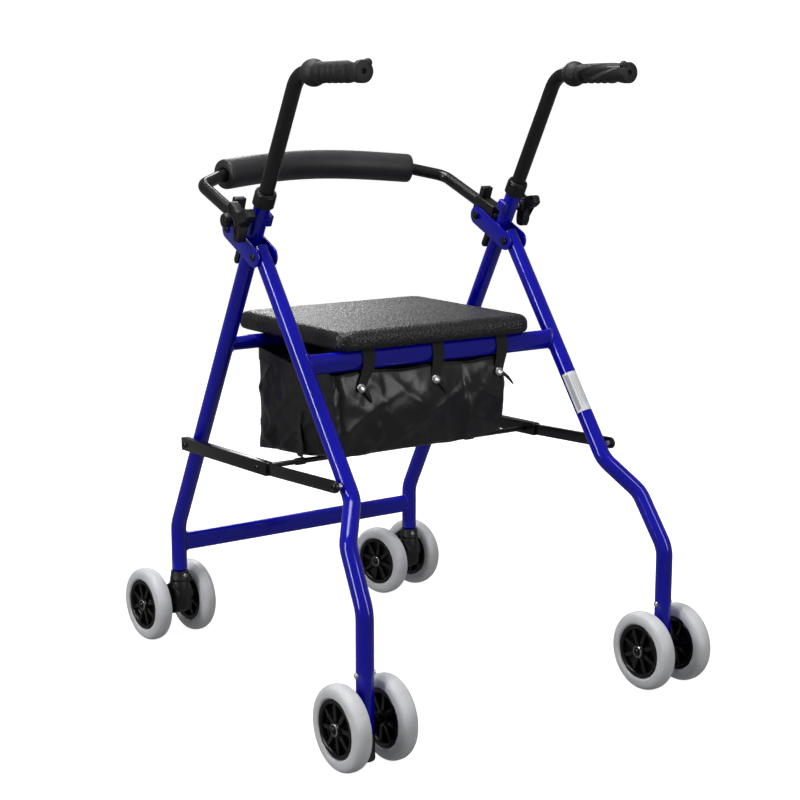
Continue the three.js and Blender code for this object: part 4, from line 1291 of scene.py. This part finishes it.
def bag():
    low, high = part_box("bag")
    rim = high.z + 0.001
    middle = (low + high) / 2
    half_x, half_y = (high.x - low.x) / 2, (high.y - low.y) / 2
    depth = rim - low.z - 0.004
    outline = rounded_outline(low + Vector((0.003, 0.003, 0)), high - Vector((0.003, 0.003, 0)), 0.010,
                              0.0042)
    shell = outline_wall("bag_piece", outline, rim, depth, 30)
    shares = (1.0, 0.985, 0.95, 0.85, 0.72, 0.58, 0.44, 0.3, 0.16)
    for before, after in zip(shares, shares[1:]):
        bpy.ops.mesh.extrude_region_move()
        bpy.ops.transform.resize(value=(after / before, after / before, 1),
                                 center_override=(middle.x, middle.y, rim - depth))
    bpy.ops.mesh.edge_face_add()
    leave()
    for vert in shell.data.vertices:
        x, y, z = vert.co
        drop = (rim - z) / depth
        side_x, side_y = (x - middle.x) / half_x, (y - middle.y) / half_y
        on_end = abs(side_x) > 0.965
        on_face = abs(side_y) > 0.955
        along, across = (y, side_y) if on_end else (x, side_x)
        shape = math.sin(math.pi * min(1.0, drop * 0.9 + 0.05))
        free = min(1.0, 0.15 + drop * 2.2) * min(1.0, (1 - abs(across)) * 8 + 0.15)
        seed = 11.0 * round(side_x) + 5.0 * round(side_y)
        push = crease(along, z, seed) * free + 0.004 * shape * (1 - across ** 2)
        narrow = 0.002 * drop
        if drop > 0.999 and not on_end and not on_face:
            hollow = 0.003 * (1 - side_x ** 2) * (1 - side_y ** 2)
            vert.co.z += 0.004 * noise.noise(Vector((x * 20, y * 20, 4))) - hollow
        if on_end:
            vert.co.x += math.copysign(1, side_x) * (push - narrow)
        if on_face and side_y < 0:
            vert.co.y -= push - narrow
        elif on_face:
            vert.co.y -= abs(push) + narrow
        vert.co.y -= BAG_SET_BACK * max(0.0, side_y)
        lift = 0.004 * noise.noise(Vector((x * 14, y * 14, 9))) * drop
        vert.co.z += lift - strap_sag(x, y, low.y + 0.02) * max(0.0, 1 - drop) ** 1.5
        if side_y < -0.5:
            vert.co.y -= 0.011 * shape * (-side_y - 0.5) * 2
        vert.co.z -= drop * (0.006 + 0.009 * side_y - 0.004 * side_x)
        vert.co.z += BAG_FRONT_RISE * max(0.0, side_y) * (1 - drop)
    modify(shell, "SOLIDIFY", thickness=0.0014, offset=0.0)
    close_and_orient(shell)
    smooth(shell, 180)
    finish(shell, NYLON, "front_frame", "bag_nylon", "bag")
    squashed = [shell]
    # Piping down the four corners
    for sx in (low.x + 0.006, high.x - 0.006):
        for sy in (low.y + 0.006, high.y - 0.006):
            out = Vector((math.copysign(1, sx - middle.x), math.copysign(1, sy - middle.y), 0)) * 0.0022
            path = []
            for i in range(15):
                t = i / 14
                sway = Vector((0.0012 * math.sin(9 * t + sx * 40), 0.0012 * math.sin(7 * t + sy * 50), 0))
                path.append(Vector((sx, sy, rim - 0.004 - depth * 0.95 * t)) + out * (1 - 1.4 * t) + sway * t)
                if sy > 0:
                    path[-1] += Vector((0, -BAG_SET_BACK - 0.0035, BAG_FRONT_RISE * (1 - t)))
            which = ("right" if sx > middle.x else "left") + ("_front" if sy > 0 else "_rear")
            piping = swept(f"bag_piping_{which}", path, 0.0017, sides=10, angle=180)
            squashed.append(finish(piping, WEBBING, "front_frame", "bag_nylon"))
    squashed.append(bag_hem(low, high, rim))
    squashed += bag_straps(low, rim)
    for piece in squashed:
        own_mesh(piece)


def bag_hem(low, high, rim):
    """Folded band round the mouth of the bag."""
    outline = rounded_outline(low + Vector((0.0012, 0.0012, 0)), high - Vector((0.0012, 0.0012, 0)), 0.011,
                              0.006)
    hem = outline_wall("bag_hem", outline, rim + 0.001, 0.020, 4)
    leave()
    middle_y = (low.y + high.y) / 2
    for vert in hem.data.vertices:
        x, y, z = vert.co
        vert.co.z -= strap_sag(x, y, low.y + 0.02)
        rise = max(0.0, (y - middle_y) / (high.y - middle_y))
        vert.co.z += BAG_FRONT_RISE * rise
        vert.co.y -= BAG_SET_BACK * rise
        if abs(y) > 0.08:
            vert.co.y += 0.0016 * noise.noise(Vector((x * 22, 3, z * 22)))
    modify(hem, "SOLIDIFY", thickness=0.0016, offset=0.0)
    close_and_orient(hem)
    smooth(hem, 60)
    return finish(hem, NYLON, "front_frame", "bag_nylon")


def ribbon(name, points, width_from, width_to, thickness=0.0013, across=(1, 0, 0)):
    """Flat strap along side-view points: an edge strip extruded across, thickened, its width eased."""
    piece = start(name, bpy.ops.mesh.primitive_plane_add, size=0.001)
    across = Vector(across)
    mesh = edit(piece)
    bmesh.ops.delete(mesh, geom=list(mesh.verts), context="VERTS")
    rows = []
    for i, point in enumerate(points):
        width = width_from + (width_to - width_from) * i / (len(points) - 1)
        rows.append([mesh.verts.new(Vector(point) + across * width * s) for s in (-1, -0.5, 0, 0.5, 1)])
    for row, after in zip(rows, rows[1:]):
        for k in range(4):
            mesh.faces.new((row[k], row[k + 1], after[k + 1], after[k]))
    bmesh.update_edit_mesh(piece.data)
    leave()
    modify(piece, "SOLIDIFY", thickness=thickness, offset=0.0)
    close_and_orient(piece)
    modify(piece, "SUBSURF", levels=1, render_levels=1)
    return smooth(piece, 60)


def bag_straps(low, rim):
    """Webbing loops over the rear seat bar, each with its tail and a bright snap on the bag's face."""
    pieces = []
    centre = REAR_AT_SEAT
    reach_y, reach_z = OVAL_HALF_Y + 0.0014, OVAL_HALF_Z + 0.0014
    for i, (x, lean, tip) in enumerate(zip(STRAP_X, STRAP_LEAN, TIP_LEAN)):
        loop = []
        for k in range(25):
            angle = math.radians(-70 + 275 * k / 24)
            swell_y = math.copysign(abs(math.cos(angle)) ** 0.85, math.cos(angle))
            loop.append((x, centre.x + reach_y * swell_y, centre.y + reach_z * math.sin(angle)))
        band = ribbon(f"strap_loop_{i}", loop, STRAP_HALF, STRAP_HALF)
        finish(band, WEBBING, "rear_frame", "bag_nylon")
        face = low.y - 0.0035
        start_y = centre.x - reach_y - 0.0006
        hang = [(x, start_y, centre.y - 0.002), (x + lean * 0.12, start_y - 0.0006, centre.y - 0.012),
                (x + lean * 0.4, min(start_y, face) - 0.0006, rim - 0.006),
                (x + lean * 0.75, face - 0.0030, rim - 0.015), (x + lean, face - 0.0048, rim - 0.025)]
        tail = ribbon(f"strap_tail_{i}", hang, STRAP_HALF, STRAP_HALF * 0.72)
        finish(tail, WEBBING, "front_frame", "bag_nylon")
        free = [(x + lean * 0.9, face - 0.0055, rim - 0.021), (x + lean * 0.5 + tip * 0.5, face - 0.0095,
                                                               rim - 0.031),
                (x + lean * 0.3 + tip, face - 0.0080, rim - 0.045)]
        point = ribbon(f"strap_tip_{i}", free, STRAP_HALF * 0.6, 0.0012)
        finish(point, WEBBING, "front_frame", "bag_nylon")
        snap = turned(f"strap_snap_{i}", [(-0.0005, 0.0062), (0.0008, 0.0064), (0.0018, 0.0054),
                                          (0.0022, 0.0036),
                                          (0.0010, 0.0024), (0.0012, 0.0008)],
                      (x + lean, face - 0.0062, rim - 0.022), (-0.2, -1, 0.3), sides=28)
        finish(snap, STEEL, "front_frame", "bolt_steel")
        pieces += [tail, point, snap]
    return pieces


def rod_tethers():
    """Tapered straps from the bag's ends down to loops round the cross rod."""
    low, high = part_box("bag")
    mid = Vector(LINK_MID)
    for side, x in (("left", low.x - 0.0025), ("right", high.x + 0.0025)):
        loop_r = ROD_R + 0.0012
        loop = []
        for k in range(13):
            angle = math.radians(100 + 340 * k / 12)
            loop.append((x, mid.x + loop_r * math.cos(angle), mid.y + loop_r * math.sin(angle)))
        band = ribbon(f"tether_loop_{side}", loop, 0.0085, 0.0085, thickness=0.0012)
        finish(band, WEBBING, "front_links", "bag_nylon")
        strap = [(x, mid.x + 0.003, low.z + 0.060), (x - 0.0005, mid.x + 0.002, low.z + 0.035),
                 (x, mid.x, low.z + 0.012), (x, mid.x, mid.y + loop_r + 0.0006)]
        tether = ribbon(f"tether_{side}", strap, 0.0012, 0.0105, thickness=0.0013, across=(0, 1, 0))
        finish(tether, WEBBING, None, "bag_nylon")
        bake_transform(tether)


def leg_label():
    """Pale sticker wrapped round the right rear leg, with plain grey bars and no lettering."""
    top = right(REAR_PIVOT)
    start_at, end_at = 0.245, 0.312
    axis = REAR_DOWN
    outward = Vector((-0.35, -0.75, 0)) - axis * Vector((-0.35, -0.75, 0)).dot(axis)
    outward.normalize()
    across = axis.cross(outward)

    def wrap(name, s0, s1, a0, a1, lift, material, slot):
        piece = start(name, bpy.ops.mesh.primitive_grid_add, x_subdivisions=4, y_subdivisions=16, size=1)
        mesh = edit(piece)
        for vert in mesh.verts:
            s = s0 + (s1 - s0) * (vert.co.x + 0.5)
            a = math.radians(a0 + (a1 - a0) * (vert.co.y + 0.5))
            vert.co = top + axis * s + (outward * math.cos(a) + across * math.sin(a)) * (LEG_R + lift)
        bmesh.update_edit_mesh(piece.data)
        leave()
        modify(piece, "SOLIDIFY", thickness=0.0002, offset=0.0)
        close_and_orient(piece)
        smooth(piece, 60)
        finish(piece, material, "rear_frame", slot)

    wrap("leg_label", start_at, end_at, -62, 62, 0.0003, LABEL, "tyre_grey")
    wrap("leg_label_bar_wide", start_at + 0.004, end_at - 0.004, 18, 44, 0.0005, LABEL_PRINT, "tyre_grey")
    for i in range(4):
        angle = 4 - i * 14
        wrap(f"leg_label_bar_{i}", start_at + 0.006, end_at - 0.008 - 0.006 * (i % 2), angle, angle - 3,
             0.0005,
             LABEL_PRINT, "tyre_grey")


# ------------------------------------------------------------------ stage, light and camera
ROOM_SIZE = 80
ROOM_REACH = 30


def stage():
    """White floor and four backdrops that the camera sees, but the walker doesn't mirror."""
    floor = start("studio_floor", bpy.ops.mesh.primitive_plane_add, size=ROOM_SIZE)
    papers = [(floor, 0.9)]
    for i in range(4):
        angle = i * math.pi / 2
        wall = start(f"studio_backdrop_{i}", bpy.ops.mesh.primitive_plane_add, size=ROOM_SIZE,
                     location=(-ROOM_REACH * math.sin(angle), ROOM_REACH * math.cos(angle), 0),
                     rotation=(math.pi / 2, 0, angle))
        papers.append((wall, 1.0))
    for piece, glow in papers:
        paper = Finish("Pale paper", (0.6, 0.6, 0.6), 0.9, Specular_IOR_Level=0.0, Emission_Color=(1, 1, 1,
                                                                                                   1),
                       Emission_Strength=glow)
        piece.data.materials.append(paper.material)
        piece.visible_diffuse = False
        piece.visible_glossy = False
        piece.visible_shadow = False
    world = bpy.data.worlds.new("Studio")
    bpy.context.scene.world = world
    world.use_nodes = True
    world.node_tree.nodes["Background"].inputs["Color"].default_value = (1, 1, 1, 1)
    world.node_tree.nodes["Background"].inputs["Strength"].default_value = 0.17


def lamp(name, place, target, size, power, size_y=None):
    data = bpy.data.lights.new(name, "AREA")
    data.energy = power
    data.shape = "RECTANGLE"
    data.size = size
    data.size_y = size_y or size
    light = bpy.data.objects.new(name, data)
    bpy.context.scene.collection.objects.link(light)
    light.location = place
    light.rotation_euler = (Vector(target) - Vector(place)).to_track_quat("-Z", "Y").to_euler()


def lights():
    aim = (0, 0, 0.45)
    lamp("Overhead softbox", (-0.3, 0.1, 2.6), aim, 1.4, 42)
    lamp("Left softbox", (-2.6, -0.2, 1.5), aim, 0.35, 30, 2.2)
    lamp("Right softbox", (0.9, -2.9, 1.6), aim, 0.3, 22, 2.2)
    lamp("Back strip", (1.2, 2.4, 1.9), aim, 0.4, 16, 1.8)


def camera():
    bpy.context.scene.view_settings.view_transform = "Standard"
    data = bpy.data.cameras.new("Camera")
    data.lens = 75
    data.sensor_width = 36
    data.clip_end = 50
    eye = bpy.data.objects.new("Camera", data)
    bpy.context.scene.collection.objects.link(eye)
    eye.location = (-1.4462, -2.09095, 0.9012)
    view_back = Vector((-0.562, -0.806, 0.1857))
    eye.rotation_euler = view_back.to_track_quat("Z", "Y").to_euler()
    bpy.context.scene.camera = eye


# ------------------------------------------------------------------ the whole walker
camera()
front_leg()
rear_leg()
seat_bar()
rear_seat_bar()
cross_bar()
brackets()
collars()
handle_tubes()
grips()
star_knobs()
backrest()
holders()
side_links()
wheels()
casters()
rear_feet()
seat()
bag()
rod_tethers()
leg_label()
stage()
lights()
